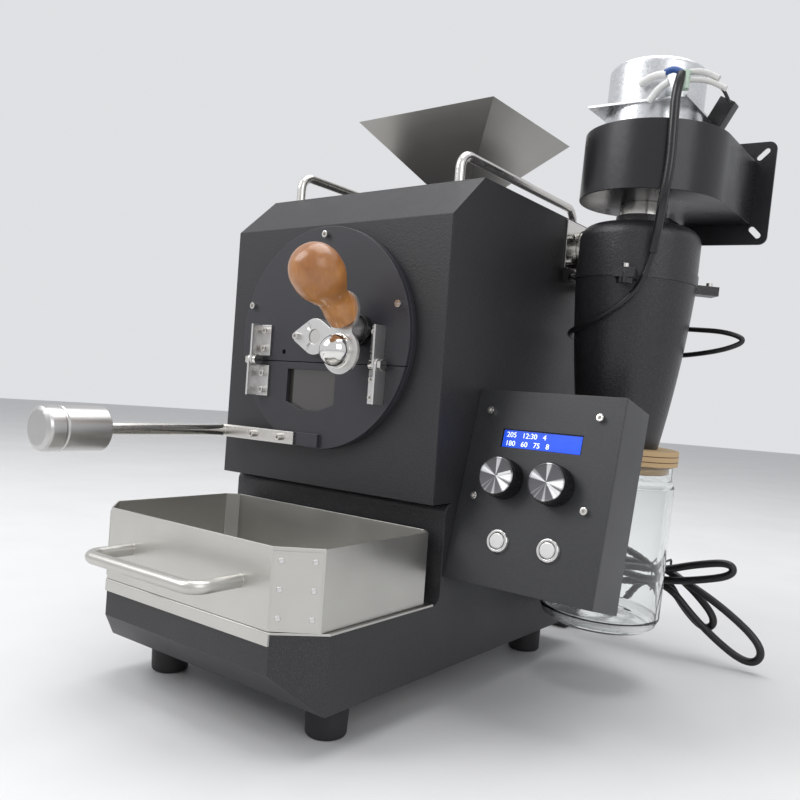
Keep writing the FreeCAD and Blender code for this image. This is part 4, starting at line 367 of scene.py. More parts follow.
RECIPES = {
    # The powder coats below paint their high points in a lighter colour as painted highlights; the front
    # plate's is (0.05, 0.05, 0.06).
    "powder_coat_with_painted_highlights": lambda name, look: powder(name, look.coat[:], look.coat_painted_highlight[:], 1700, 0.46,
                                                      0.00009),
    "fine_powder_coat": lambda name, look: powder(name, look.control_coat[:], look.coat_painted_highlight[:], 2600, 0.4,
                                                  0.00004),
    "cyclone_coat": lambda name, look: powder(name, look.coat[:], look.coat_painted_highlight[:], 1300, 0.36, 0.00014),
    "front_plate_coat": lambda name, look: powder(name, look.plate[:], (0.05, 0.05, 0.06), 3000, 0.4,
                                                  0.00002),
    "satin_black_paint": lambda name, look: moulded(name, look.satin[:], 0.3, depth=0.00004, scale=420),
    "tray_steel": lambda name, look: drawn(name, look.steel[:], (14, 14, 2600), 0.34, 0.000006, 0.12),
    "hopper_steel": lambda name, look: drawn(name, (0.42, 0.41, 0.39), (12, 12, 2200), 0.36, 0.000006, 0.14),
    "strip_steel": lambda name, look: drawn(name, look.steel[:], (60, 60, 2400), 0.36, 0.000006, 0.1),
    "polished_steel": lambda name, look: drawn(name, look.bright[:], (300, 300, 300), 0.16, 0.00001, 0.08),
    "mirror_steel": lambda name, look: drawn(name, (0.8, 0.79, 0.77), (120, 120, 120), 0.1, 0.000003, 0.05),
    "turned_steel": lambda name, look: drawn(name, (0.6, 0.59, 0.58), (25, 2400, 25), 0.3, 0.000004, 0.16),
    "satin_steel": lambda name, look: drawn(name, (0.7, 0.69, 0.68), (90, 90, 1400), 0.36, 0.000004, 0.08),
    "rod_steel": lambda name, look: drawn(name, look.bright[:], (500, 30, 500), 0.24, 0.00001, 0.12),
    "galvanised_sheet": lambda name, look: spangled(name),
    "drum_steel": lambda name, look: drawn(name, (0.3, 0.28, 0.26), (300, 20, 300), 0.4, contrast=0.4),
    "glazed_beech": lambda name, look: wooden(name, look.wood[:], look.wood_dark[:], (60, 16, 16), 5, 0.6),
    "bamboo": lambda name, look: wooden(name, look.bamboo[:], (0.42, 0.24, 0.1), (18, 60, 400), 3, 0.15),
    "bamboo_dark": lambda name, look: wooden(name, (0.16, 0.07, 0.025), (0.1, 0.04, 0.015), (18, 60, 400), 3,
                                             0.1),
    "foot_rubber": lambda name, look: moulded(name, (0.012, 0.012, 0.013), 0.6, depth=0.00008),
    "cord_rubber": lambda name, look: moulded(name, (0.009, 0.009, 0.01), 0.33, depth=0.00001),
    "matt_plastic": lambda name, look: moulded(name, (0.014, 0.014, 0.015), 0.5),
    "gloss_plastic": lambda name, look: moulded(name, (0.012, 0.012, 0.013), 0.22, depth=0.00001),
    "spun_aluminium": lambda name, look: spun(name),
    "jar_glass": lambda name, look: clear(name, (0.97, 0.985, 0.98), 0.0),
    "dark_glass": lambda name, look: moulded(name, (0.05, 0.045, 0.04), 0.04, depth=0.000001,
                                             coat_weight=1.0),
    "display_blue": lambda name, look: lit(name, look.display[:], 0.55),
    "display_white": lambda name, look: lit(name, (0.75, 0.85, 1.0), 0.9),
    "pointer_white": lambda name, look: moulded(name, (0.8, 0.8, 0.8), 0.4),
    "terminal_white": lambda name, look: moulded(name, (0.78, 0.78, 0.76), 0.35),
    "terminal_blue": lambda name, look: moulded(name, (0.02, 0.08, 0.3), 0.4),
    "tie_green": lambda name, look: moulded(name, (0.5, 0.62, 0.52), 0.4),
    "wire_grey": lambda name, look: moulded(name, (0.6, 0.6, 0.58), 0.45),
}


# Modelling

def carry(bm, matrix):
    """Moves a whole mesh by a matrix."""
    bmesh.ops.transform(bm, matrix=matrix, verts=bm.verts)
    return bm


def joined(*parts):
    """Several meshes as one."""
    whole = bmesh.new()
    for part in parts:
        mesh = bpy.data.meshes.new("part")
        part.to_mesh(mesh)
        part.free()
        whole.from_mesh(mesh)
        bpy.data.meshes.remove(mesh)
    return whole


def soften(bm, width, segments=2, sharp=30):
    """Rounds the edges that turn by more than an angle."""
    edges = [edge for edge in bm.edges if edge.is_manifold and edge.calc_face_angle(0) > math.radians(sharp)]
    bmesh.ops.bevel(bm, geom=edges, offset=width, offset_type="OFFSET", affect="EDGES", segments=segments,
                    profile=0.5, material=-1, clamp_overlap=True)
    return bm


def lathe(line, steps=64, closed=False):
    """Turns a line of (radius, height) points about Z."""
    bm = bmesh.new()
    points = [bm.verts.new((radius, 0, height)) for radius, height in line]
    edges = [bm.edges.new(pair) for pair in zip(points, points[1:] + points[:1] if closed else points[1:])]
    bmesh.ops.spin(bm, geom=points + edges, cent=(0, 0, 0), axis=(0, 0, 1), angle=math.tau, steps=steps,
                   use_merge=True)
    bmesh.ops.remove_doubles(bm, verts=bm.verts, dist=0.0005)
    bmesh.ops.recalc_face_normals(bm, faces=bm.faces)
    return bm


def smooth_line(points, steps=8):
    """The same points with a smooth line through them."""
    curve = bpy.data.curves.new("line", "CURVE")
    curve.dimensions = "3D"
    spline = curve.splines.new("BEZIER")
    spline.bezier_points.add(len(points) - 1)
    spline.resolution_u = steps
    for knot, (radius, height) in zip(spline.bezier_points, points):
        knot.co = (radius, 0, height)
        knot.handle_left_type = knot.handle_right_type = "AUTO"
    holder = bpy.data.objects.new("line", curve)
    mesh = bpy.data.meshes.new_from_object(holder)
    line = [(max(0, vert.co.x), vert.co.z) for vert in mesh.vertices]
    bpy.data.objects.remove(holder)
    bpy.data.curves.remove(curve)
    bpy.data.meshes.remove(mesh)
    return line


def slab(outline, thick):
    """A flat plate with that outline, raised along Z."""
    bm = bmesh.new()
    face = bm.faces.new([bm.verts.new((x, y, 0)) for x, y in outline])
    grown = bmesh.ops.extrude_face_region(bm, geom=[face])
    top = [item for item in grown["geom"] if isinstance(item, bmesh.types.BMVert)]
    bmesh.ops.translate(bm, verts=top, vec=(0, 0, thick))
    bmesh.ops.recalc_face_normals(bm, faces=bm.faces)
    return bm


def block(x, y, z, length, width, height):
    """A box from its low corner and its three sizes."""
    bm = bmesh.new()
    bmesh.ops.create_cube(bm, size=1)
    return carry(bm, Matrix.Translation((x + length / 2, y + width / 2, z + height / 2))
                 @ Matrix.Diagonal((length, width, height, 1)))


def disc_of(radius, depth, steps=32):
    """A disc raised from z = 0."""
    return lathe([(0, 0), (radius, 0), (radius, depth), (0, depth)], steps)


def bent_rod(start, heading, moves, radius, sides=20):
    """A round rod of straight runs (length) and turns (angle, bend radius, centre's side)."""
    bm = bmesh.new()
    here, way = Vector(start), Vector(heading).normalized()
    turn = way.to_track_quat("Z", "Y").to_matrix().to_4x4()
    ring = bmesh.ops.create_circle(bm, cap_ends=False, radius=radius, segments=sides,
                                   matrix=Matrix.Translation(here) @ turn)
    edges = list({edge for vert in ring["verts"] for edge in vert.link_edges})
    bmesh.ops.contextual_create(bm, geom=edges)
    for move in moves:
        if len(move) == 1:
            grown = bmesh.ops.extrude_edge_only(bm, edges=edges)["geom"]
            verts = [item for item in grown if isinstance(item, bmesh.types.BMVert)]
            bmesh.ops.translate(bm, verts=verts, vec=way * move[0])
            here += way * move[0]
            last = set(verts)
            edges = [item for item in grown if isinstance(item, bmesh.types.BMEdge)
                     and item.verts[0] in last and item.verts[1] in last]
        else:
            angle, reach, side = math.radians(move[0]), move[1], Vector(move[2])
            axis = way.cross(side)
            centre = here + side * reach
            grown = bmesh.ops.spin(bm, geom=edges, cent=centre, axis=axis, angle=angle, steps=10)
            edges = [item for item in grown["geom_last"] if isinstance(item, bmesh.types.BMEdge)]
            spin = Matrix.Rotation(angle, 3, axis)
            here = centre + spin @ (here - centre)
            way = spin @ way
    bmesh.ops.contextual_create(bm, geom=edges)
    bmesh.ops.recalc_face_normals(bm, faces=bm.faces)
    return bm


def ribbed(radius, depth, ribs, bite):
    """A drum with fine grooves round it, from z = 0 up."""
    turns = [(math.tau * step / (ribs * 2), radius - bite * (step % 2)) for step in range(ribs * 2)]
    return slab([(reach * math.cos(turn), reach * math.sin(turn)) for turn, reach in turns], depth)


def with_rays(bm, radius):
    """Marks each corner with its place across a turned face, for the spun finish."""
    layer = bm.loops.layers.uv.new("Ray")
    for face in bm.faces:
        for corner in face.loops:
            corner[layer].uv = corner.vert.co.xy / radius
    return bm


def figures(words, height):
    """Plain figures as a thin raised mesh, lying in the XY plane."""
    curve = bpy.data.curves.new("figures", "FONT")
    curve.body, curve.size, curve.extrude = words, height, 0.1
    holder = bpy.data.objects.new("figures", curve)
    mesh = bpy.data.meshes.new_from_object(holder)
    bm = bmesh.new()
    bm.from_mesh(mesh)
    bmesh.ops.remove_doubles(bm, verts=bm.verts, dist=0.001)
    bmesh.ops.recalc_face_normals(bm, faces=bm.faces)
    bpy.data.objects.remove(holder)
    bpy.data.curves.remove(curve)
    bpy.data.meshes.remove(mesh)
    return bm


def rivets(spots, way, radius=2.0, rise=0.9):
    """Low round heads at the spots, standing along a direction."""
    turn = Vector(way).to_track_quat("Z", "Y").to_matrix().to_4x4()
    heads = [carry(lathe([(0, 0), (radius, 0), (radius * 0.8, rise * 0.7), (0, rise)], 20),
                   Matrix.Translation(spot) @ turn) for spot in spots]
    return joined(*heads)


def piece(context, name, bm, look, body, place=HOUSING, stands_for=(), crisp=35):
    """Puts a finished mesh in its place, with its finish, on the body that carries it."""
    carry(bm, place)
    mesh = bpy.data.meshes.new(name)
    bm.to_mesh(mesh)
    bm.free()
    mesh.materials.append(finish(look))
    mesh.shade_smooth()
    mesh.set_sharp_from_angle(angle=math.radians(crisp))
    made = bpy.data.objects.new(name, mesh)
    context.scene.collection.objects.link(made)
    even = made.modifiers.new("even_shading", "WEIGHTED_NORMAL")
    even.keep_sharp = True
    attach(made, body)
    if stands_for:
        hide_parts(*stands_for)
    return made


def dressed(context, node, look, width=0.35, sharp=28):
    """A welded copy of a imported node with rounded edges, which stands for it."""
    source = frame["nodes"][node]
    bm = bmesh.new()
    bm.from_mesh(source.data)
    bmesh.ops.remove_doubles(bm, verts=bm.verts, dist=0.000002)
    bmesh.ops.dissolve_limit(bm, angle_limit=math.radians(0.4), verts=bm.verts, edges=bm.edges)
    if width:
        edges = [edge for edge in bm.edges if edge.is_manifold
                 and edge.calc_face_angle(0) > math.radians(sharp) and edge.calc_length() > 0.0004]
        bmesh.ops.bevel(bm, geom=edges, offset=width * MM, offset_type="OFFSET", affect="EDGES", segments=2,
                        profile=0.5, material=-1, clamp_overlap=True)
    bmesh.ops.triangulate(bm, faces=[face for face in bm.faces if len(face.verts) > 4])
    return piece(context, node + "_dressed", bm, look, source["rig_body"], Matrix.Identity(4), (node,))


def cord_curve(context, name, points, radius, look):
    """A smooth cord with the route's points as its control points."""
    curve = bpy.data.curves.new(name, "CURVE")
    curve.dimensions = "3D"
    spline = curve.splines.new("NURBS")
    spline.points.add(len(points) - 1)
    for knot, point in zip(spline.points, points):
        knot.co = (*(HOUSING @ Vector(point)), 1)
    spline.order_u = 3
    spline.use_endpoint_u = True
    spline.resolution_u = 10
    curve.bevel_depth = radius * MM
    curve.bevel_resolution = 6
    curve.use_fill_caps = True
    curve.materials.append(finish(look))
    made = bpy.data.objects.new(name, curve)
    context.scene.collection.objects.link(made)
    return made


# Sizes and finishes that a user would change

class RoasterSizes(bpy.types.PropertyGroup):
    """Sizes of the fine parts, in millimetres."""
    lead_radius: FloatProperty(name="Motor lead radius", description="Half the motor lead's thickness",
                               default=2.2, min=1, max=4)
    sleeve_radius: FloatProperty(name="Sleeve radius", description="Half the woven sleeve's thickness",
                                 default=3.8, min=2, max=6)
    mains_radius: FloatProperty(name="Mains lead radius", description="Half the mains lead's thickness",
                                default=3.6, min=2, max=5)
    dial_radius: FloatProperty(name="Dial radius", description="Each turned dial on the control box",
                               default=15, min=10, max=18)
    edge_width: FloatProperty(name="Sheet edge", description="How far sheet edges are rounded",
                              default=0.35, min=0.1, max=1)


class RoasterFinishes(bpy.types.PropertyGroup):
    """Colours of the main finishes."""
    coat: FloatVectorProperty(name="Powder coat", description="Housing and cyclone", subtype="COLOR",
                              default=(0.018, 0.018, 0.02), min=0, max=1)
    # The powder coats' painted highlight colour, laid on their high points.
    coat_painted_highlight: FloatVectorProperty(name="Coat painted highlights", description="High points of the powder coat",
                                    subtype="COLOR", default=(0.07, 0.07, 0.074), min=0, max=1)
    control_coat: FloatVectorProperty(name="Control box coat", description="Control box", subtype="COLOR",
                                      default=(0.026, 0.027, 0.03), min=0, max=1)
    plate: FloatVectorProperty(name="Front plate", description="The round plate and door", subtype="COLOR",
                               default=(0.03, 0.03, 0.036), min=0, max=1)
    satin: FloatVectorProperty(name="Satin black", description="The blower's scroll and flange",
                               subtype="COLOR", default=(0.01, 0.01, 0.012), min=0, max=1)
    steel: FloatVectorProperty(name="Sheet steel", description="Tray, strips and duct", subtype="COLOR",
                               default=(0.6, 0.59, 0.56), min=0, max=1)
    bright: FloatVectorProperty(name="Polished steel", description="Rods, screws and knob", subtype="COLOR",
                                default=(0.72, 0.7, 0.67), min=0, max=1)
    wood: FloatVectorProperty(name="Handle wood", description="The sampler's grip", subtype="COLOR",
                              default=(0.56, 0.24, 0.06), min=0, max=1)
    wood_dark: FloatVectorProperty(name="Handle grain", description="Dark bands in the grip",
                                   subtype="COLOR", default=(0.36, 0.13, 0.03), min=0, max=1)
    bamboo: FloatVectorProperty(name="Jar lid", description="The jar's laminated lid", subtype="COLOR",
                                default=(0.6, 0.4, 0.2), min=0, max=1)
    display: FloatVectorProperty(name="Display", description="The lit display", subtype="COLOR",
                                 default=(0.0, 0.06, 0.62), min=0, max=1)
    display_text: StringProperty(name="Display text", description="Plain figures on the display",
                                 default="205   12:30   4/180   60   75   8")


# Stage and camera

class ROASTER_OT_stage(bpy.types.Operator):
    """Makes the camera at the photograph's view, the pale floor and the soft lights"""
    bl_idname = "roaster.stage"
    bl_label = "Stage and Camera"

    def execute(self, context):
        scene = context.scene
        scene.view_settings.view_transform = "Standard"
        yaw, pitch, roll = math.radians(37.10), math.radians(0.435), math.radians(4.04)
        ahead = Vector((-math.sin(yaw) * math.cos(pitch), math.cos(yaw) * math.cos(pitch), -math.sin(pitch)))
        right = Vector((math.cos(yaw), math.sin(yaw), 0))
        above = right.cross(ahead)
        across = right * math.cos(roll) + above * math.sin(roll)
        upward = above * math.cos(roll) - right * math.sin(roll)
        lens = bpy.data.cameras.new("photo_view")
        lens.sensor_width, lens.lens = 36, 36.28
        lens.clip_start, lens.clip_end = 0.02, 50
        camera = bpy.data.objects.new("photo_view", lens)
        turn = Matrix((across, upward, -ahead)).transposed().to_4x4()
        camera.matrix_world = Matrix.Translation(HOUSING @ Vector(CAMERA_PLACE)) @ turn
        scene.collection.objects.link(camera)
        scene.camera = camera
        self.floor(context)
        self.lamps(context)
        self.world(context)
        return {"FINISHED"}

    def floor(self, context):
        """The round pale floor under the roaster."""
        bm = lathe([(0, 0), (3, 0), (6, 0)], 96)
        mesh = bpy.data.meshes.new("floor")
        bm.to_mesh(mesh)
        bm.free()
        mesh.materials.append(self.floor_finish())
        made = bpy.data.objects.new("floor", mesh)
        context.scene.collection.objects.link(made)

    def floor_finish(self):
        """The floor's pale, faintly uneven finish."""
        material, tree, shader, spot = blank_finish("pale_floor", roughness=0.55)
        cloud = handling(tree, spot, 6)
        shade = blend_colours(tree, cloud, (0.8, 0.8, 0.8), (0.84, 0.84, 0.84))
        tree.links.new(shade, shader.inputs["Base Color"])
        bumped(tree, shader, cloud, 0.0008)
        return material

    def lamps(self, context):
        """Three soft lamps, each turned to the roaster's middle."""
        lamps = (("key", (-1.3, -1.5, 1.9), 1.5, 30), ("fill", (1.9, -0.9, 1.3), 1.4, 11),
                 ("top", (0.0, 0.3, 2.2), 1.8, 27))
        for name, spot, size, power in lamps:
            light = bpy.data.lights.new(name, "AREA")
            light.size, light.energy = size, power
            lamp = bpy.data.objects.new(name, light)
            place = Vector(spot)
            lamp.matrix_world = Matrix.Translation(place) @ (Vector((0, 0, 0.25)) - place).to_track_quat(
                "-Z", "Y").to_matrix().to_4x4()
            context.scene.collection.objects.link(lamp)

    def world(self, context):
        """A plain pale room, brighter where it is seen or reflected than where it lights."""
        world = bpy.data.worlds.new("studio")
        context.scene.world = world
        world.use_nodes = True
        tree = world.node_tree
        shade = tree.nodes["Background"]
        shade.inputs["Color"].default_value = (0.8, 0.82, 0.85, 1)
        shade.inputs["Strength"].default_value = 0.52
        seen = add_node(tree, "Background", {"Color": (0.74, 0.75, 0.77, 1), "Strength": 1.0})
        path = add_node(tree, "LightPath")
        direct = add_node(tree, "Math", {0: path.outputs["Is Camera Ray"], 1: path.outputs["Is Glossy Ray"]},
                          operation="MAXIMUM")
        reached = add_node(tree, "Math", {0: direct.outputs[0], 1: path.outputs["Is Transmission Ray"]},
                           operation="MAXIMUM")
        mix = add_node(tree, "MixShader", {0: reached.outputs[0], 1: shade.outputs[0], 2: seen.outputs[0]})
        tree.links.new(mix.outputs[0], tree.nodes["World Output"].inputs[0])


# Cords

LEAD_ROUTE = [(226, 141, 503), (225, 134, 490), (225, 133, 462), (225, 133, 430), (221, 133, 402),
              (216, 140, 382), (213, 141, 362), (209, 141, 348), (203, 139, 334), (192, 137, 322),
              (174, 137, 311), (154, 142, 304), (136, 160, 300), (126, 190, 299), (136, 222, 297),
              (164, 242, 292), (200, 241, 288), (225, 228, 289), (252, 226, 294), (268, 226, 302),
              (250, 227, 309), (222, 230, 311), (184, 247, 314), (147, 234, 320), (129, 213, 334),
              (128, 191, 356), (113, 191, 356)]
MAINS_START = [(100, 281, 74), (100, 300, 74), (136, 300, 79), (166, 301, 83), (184, 308, 81.3)]
TIE = (184, 76)
HANK_LOOPS = [(68, -16, 15, 0, 0), (92, 192, 24, 0, 1), (110, 34, 30, 1, 1), (84, 176, 22, 1, 2),
              (62, 44, 20, 2, 2)]
HANK_ROWS = (308, 316.6, 325.2)
STRAND_SIDE = 5.3
MAINS_END = [(184, 325.2, 70.7), (158, 330, 62), (136, 333, 34), (122, 331, 14), (104, 328, 9.5),
             (92, 328, 9.5)]


def hank_route():
    """Each loop of the hank leaves the tie, swells to its tip and comes back, row by row in depth."""
    middle_x, middle_z = TIE
    points = [(middle_x, HANK_ROWS[0], middle_z + STRAND_SIDE)]
    for reach, fall, width, row_out, row_back in HANK_LOOPS:
        turn = math.radians(fall)
        along, across = Vector((math.cos(turn), -math.sin(turn))), Vector((math.sin(turn), math.cos(turn)))
        for share, side, row in ((0.5, 0.5, row_out), (1, 0.42, row_out), (1, -0.42, row_back),
                                 (0.5, -0.5, row_back)):
            spot = Vector(TIE) + along * reach * share + across * width * side
            points.append((spot.x, HANK_ROWS[row], spot.y))
        back = -STRAND_SIDE if abs(fall) < 90 else STRAND_SIDE
        points.append((middle_x, HANK_ROWS[row_back], middle_z + back))
    return points


def centreline(curve_object):
    """The points of a cord's own spline."""
    bare = curve_object.data.copy()
    bare.bevel_depth = 0
    holder = bpy.data.objects.new("bare", bare)
    mesh = bpy.data.meshes.new_from_object(holder)
    points = [vert.co.copy() for vert in mesh.vertices]
    bpy.data.objects.remove(holder)
    bpy.data.curves.remove(bare)
    bpy.data.meshes.remove(mesh)
    return points


def tube_along(points, radii, sides=16):
    """A tube round a line of points, with a radius for each, built by lofting circles."""
    bm = bmesh.new()
    loops = []
    for index, point in enumerate(points):
        before, after = points[max(0, index - 1)], points[min(len(points) - 1, index + 1)]
        turn = (after - before).to_track_quat("Z", "Y").to_matrix().to_4x4()
        ring = bmesh.ops.create_circle(bm, radius=radii[index], segments=sides,
                                       matrix=Matrix.Translation(point) @ turn)
        loops.append(list({edge for vert in ring["verts"] for edge in vert.link_edges
                           if edge.other_vert(vert) in ring["verts"]}))
    for first, second in zip(loops, loops[1:]):
        bmesh.ops.bridge_loops(bm, edges=first + second)
    for end in (loops[0], loops[-1]):
        bmesh.ops.contextual_create(bm, geom=end)
    bmesh.ops.recalc_face_normals(bm, faces=bm.faces)
    return bm


class ROASTER_OT_cords(bpy.types.Operator):
    """Lays the motor lead and the mains lead with its hank, tie and plug"""
    bl_idname = "roaster.cords"
    bl_label = "Cords"

    def execute(self, context):
        sizes = context.scene.roaster_sizes
        lead = cord_curve(context, "motor_lead_cord", LEAD_ROUTE, sizes.lead_radius, "cord_rubber")
        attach(lead, "chassis")
        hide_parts("motor_lead")
        line = centreline(lead)
        sleeved, run = [line[0]], 0
        for before, after in zip(line, line[1:]):
            run += (after - before).length
            if run > SLEEVE_LENGTH:
                break
            sleeved.append(after)
        thick = [sizes.sleeve_radius * MM] * len(sleeved)
        sleeve = piece(context, "lead_sleeve", tube_along(sleeved, thick), "gloss_plastic", "chassis",
                       Matrix.Identity(4))

        route = MAINS_START + hank_route()[1:] + MAINS_END[1:]
        mains = cord_curve(context, "mains_lead", route, sizes.mains_radius, "cord_rubber")
        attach(mains, "chassis")
        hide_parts("mains_cord")
        plug = dressed(context, "mains_plug", "matt_plastic", 0.5)
        tie = self.tie(context)
        dressed(context, "cord_glands", "matt_plastic", 0.3)
        return {"FINISHED"}

    def tie(self, context):
        """A twist tie round the middle of the hank."""
        middle_x, middle_z = TIE
        wrap = bent_rod((middle_x, HANK_ROWS[0] - 6, middle_z - 11), (0, 0, 1),
                        [(22,), (90, 2, (0, 1, 0)), (26,), (90, 2, (0, 0, -1)), (22,), (90, 2, (0, -1, 0)),
                         (24,)],
                        1.1, 10)
        return piece(context, "hank_tie", wrap, "matt_plastic", "chassis")


class ROASTER_OT_body(bpy.types.Operator):
    """Finishes the lower body, deck, housing and cooling fan"""
    bl_idname = "roaster.body"
    bl_label = "Body and Housing"

    def execute(self, context):
        edge = context.scene.roaster_sizes.edge_width
        for node in ("base_shell", "base_floor", "upper_housing", "front_panel", "rear_cover"):
            dressed(context, node, "powder_coat_with_painted_highlights", edge)
        dressed(context, "cooling_deck", "tray_steel", edge)
        dressed(context, "rubber_feet", "foot_rubber", 1)
        dressed(context, "cooling_fan_frame", "matt_plastic", edge)
        dressed(context, "cooling_fan_rotor", "matt_plastic", 0.2)
        dressed(context, "chamber_flange", "front_plate_coat", edge)
        return {"FINISHED"}


class ROASTER_OT_roof(bpy.types.Operator):
    """Makes the roof handles, the hopper and its socket"""
    bl_idname = "roaster.roof"
    bl_label = "Roof Handles and Hopper"

    def execute(self, context):
        bars = [bent_rod((side, 46, 405), (0, 0, 1),
                         [(13.5,), (90, 13, (0, 1, 0)), (181,), (90, 13, (0, 0, -1)), (13.5,)], 4, 28)
                for side in (-87.5, 87.5)]
        piece(context, "roof_bars", joined(*bars), "rod_steel", "chassis", stands_for=("roof_handles",))
        dressed(context, "hopper", "hopper_steel", 0.25)
        dressed(context, "feed_chute", "strip_steel", 0.3)
        return {"FINISHED"}


class ROASTER_OT_drum_front(bpy.types.Operator):
    """Finishes the face plate, bearings, hinges, door and its window"""
    bl_idname = "roaster.drum_front"
    bl_label = "Drum Front and Door"

    def execute(self, context):
        dressed(context, "face_plate", "front_plate_coat", 0.5)
        dressed(context, "door_plate", "front_plate_coat", 0.5)
        dressed(context, "door_glass", "dark_glass", 0.3)
        dressed(context, "drum_bearings", "satin_steel", 0.5)
        dressed(context, "upper_hinge_leaves", "satin_steel", 0.3)
        dressed(context, "lower_hinge_leaves", "satin_steel", 0.3)
        dressed(context, "hinge_bolts_and_screws", "polished_steel", 0.3)
        dressed(context, "door_screws", "polished_steel", 0.3)
        return {"FINISHED"}


class ROASTER_OT_lever(bpy.types.Operator):
    """Makes the door's lever and its counterweight"""
    bl_idname = "roaster.lever"
    bl_label = "Door Lever"

    def execute(self, context):
        dressed(context, "door_lever", "rod_steel", 0.4)
        dressed(context, "counterweight", "turned_steel", 0.3)
        return {"FINISHED"}


class ROASTER_OT_sampler(bpy.types.Operator):
    """Makes the sampler's bush, scoop, knob and wooden grip"""
    bl_idname = "roaster.sampler"
    bl_label = "Sampler"

    def execute(self, context):
        dressed(context, "sampler_boss", "gloss_plastic", 0.6)
        dressed(context, "sampler_scoop", "satin_steel", 0.4)
        dressed(context, "steel_knob", "mirror_steel", 0.4)
        line = smooth_line([(13, 0), (12.2, 5), (12.6, 11), (16, 18), (19.4, 26), (20.3, 34), (18.6, 44),
                            (13, 52), (6.5, 55.6), (0, 56.5)], 10)
        grip = lathe([(0, -9), (13, -9)] + line, 72)
        carry(grip, Matrix.Translation((42, -35.5, 298)) @ Matrix.Rotation(math.radians(50), 4, "X"))
        whole = grip.verts[:] + grip.edges[:] + grip.faces[:]
        cut = bmesh.ops.bisect_plane(grip, geom=whole, plane_co=(0, -31.5, 0), plane_no=(0, 1, 0),
                                     clear_outer=True)
        rim = [item for item in cut["geom_cut"] if isinstance(item, bmesh.types.BMEdge)]
        bmesh.ops.contextual_create(grip, geom=rim)
        piece(context, "wooden_grip", grip, "glazed_beech", "sampler", stands_for=("wooden_handle",))
        return {"FINISHED"}


class ROASTER_OT_tray(bpy.types.Operator):
    """Makes the bean tray, its riveted corners and screen"""
    bl_idname = "roaster.tray"
    bl_label = "Bean Tray"

    def execute(self, context):
        dressed(context, "bean_tray", "tray_steel", 0.3)
        dressed(context, "tray_screen", "strip_steel", 0.2)
        low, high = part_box("bean_tray")
        base, rise = low.z / MM, (high.z - low.z) / MM
        for side, name in ((-1, "left"), (1, "right")):
            edge = [Vector((side * x, y)) for x, y in (TRAY_FRONT_CORNER, TRAY_SIDE_CORNER)]
            along = (edge[1] - edge[0]).normalized()
            outward = Vector((-along.y, along.x, 0)) * (-side)
            face = outward * STRIP_SHEET
            heads = []
            for point in (edge[0] + along * 6, edge[1] - along * 6):
                heads += [(point.x + face.x, point.y + face.y, base + rise * share)
                          for share in (0.16, 0.5, 0.84)]
            piece(context, f"tray_rivets_{name}", rivets(heads, outward), "satin_steel", "tray")
            ends = (edge[0] + along, edge[1] - along)
            corners = (ends[0], ends[1], ends[1] + face.xy, ends[0] + face.xy)
            strip = slab([tuple(corner) for corner in corners], rise - 5)
            carry(strip, Matrix.Translation((0, 0, base + 2.5)))
            piece(context, f"tray_corner_{name}", soften(strip, 0.15), "strip_steel", "tray")
        return {"FINISHED"}


class ROASTER_OT_cyclone(bpy.types.Operator):
    """Makes the exhaust duct, the cyclone and its pipes"""
    bl_idname = "roaster.cyclone"
    bl_label = "Exhaust and Cyclone"

    def execute(self, context):
        dressed(context, "exhaust_duct", "polished_steel", 0.3)
        dressed(context, "cyclone_cone", "cyclone_coat", 0.8)
        dressed(context, "cyclone_cap", "cyclone_coat", 0.8)
        dressed(context, "outlet_pipe", "polished_steel", 0.3)
        knob = soften(ribbed(6.5, 9, 12, 0.8), 0.4)
        turn = Matrix.Rotation(math.radians(LUG_KNOB_TURN), 4, "Z") @ Matrix.Translation(LUG_KNOB_PLACE)
        piece(context, "lug_knob", knob, "gloss_plastic", "chassis", CYCLONE @ turn)
        return {"FINISHED"}


class ROASTER_OT_jar(bpy.types.Operator):
    """Makes the chaff jar and its bamboo lid"""
    bl_idname = "roaster.jar"
    bl_label = "Chaff Jar"

    def execute(self, context):
        dressed(context, "glass_jar", "jar_glass", 0.8)
        dressed(context, "jar_lid", "bamboo", 0.8)
        lines = [carry(lathe([(50, 0), (52.15, 0), (52.15, 0.7), (50, 0.7)], 96, closed=True),
                       Matrix.Translation((0, 0, LID_TOP - drop))) for drop in GLUE_LINE_DROPS]
        piece(context, "lid_glue_lines", joined(*lines), "bamboo_dark", "chassis", CYCLONE)
        return {"FINISHED"}


# Each short wire: its piece, ends, radius and finish
WIRES = (("terminal_upper", (212.9, 143, 505.3), (191.3, 143, 501), 3.0, "terminal_white"),
         ("terminal_lower", (216, 141, 498), (200.6, 141, 484.3), 3.0, "terminal_white"),
         ("wire_band", (212, 143, 507), (226, 142, 504), 2.6, "terminal_blue"),
         ("sleeve_white", (230, 146, 505), (253, 147, 496.3), 2.4, "wire_grey"),
         ("sleeve_grey", (232, 144, 498), (258.8, 147, 487.5), 2.2, "wire_grey"),
         ("wire_black", (252, 148, 492), (259, 158, 480), 1.3, "cord_rubber"),
         ("green_tie", (228.5, 142, 490.5), (229, 143, 505), 3.4, "tie_green"))


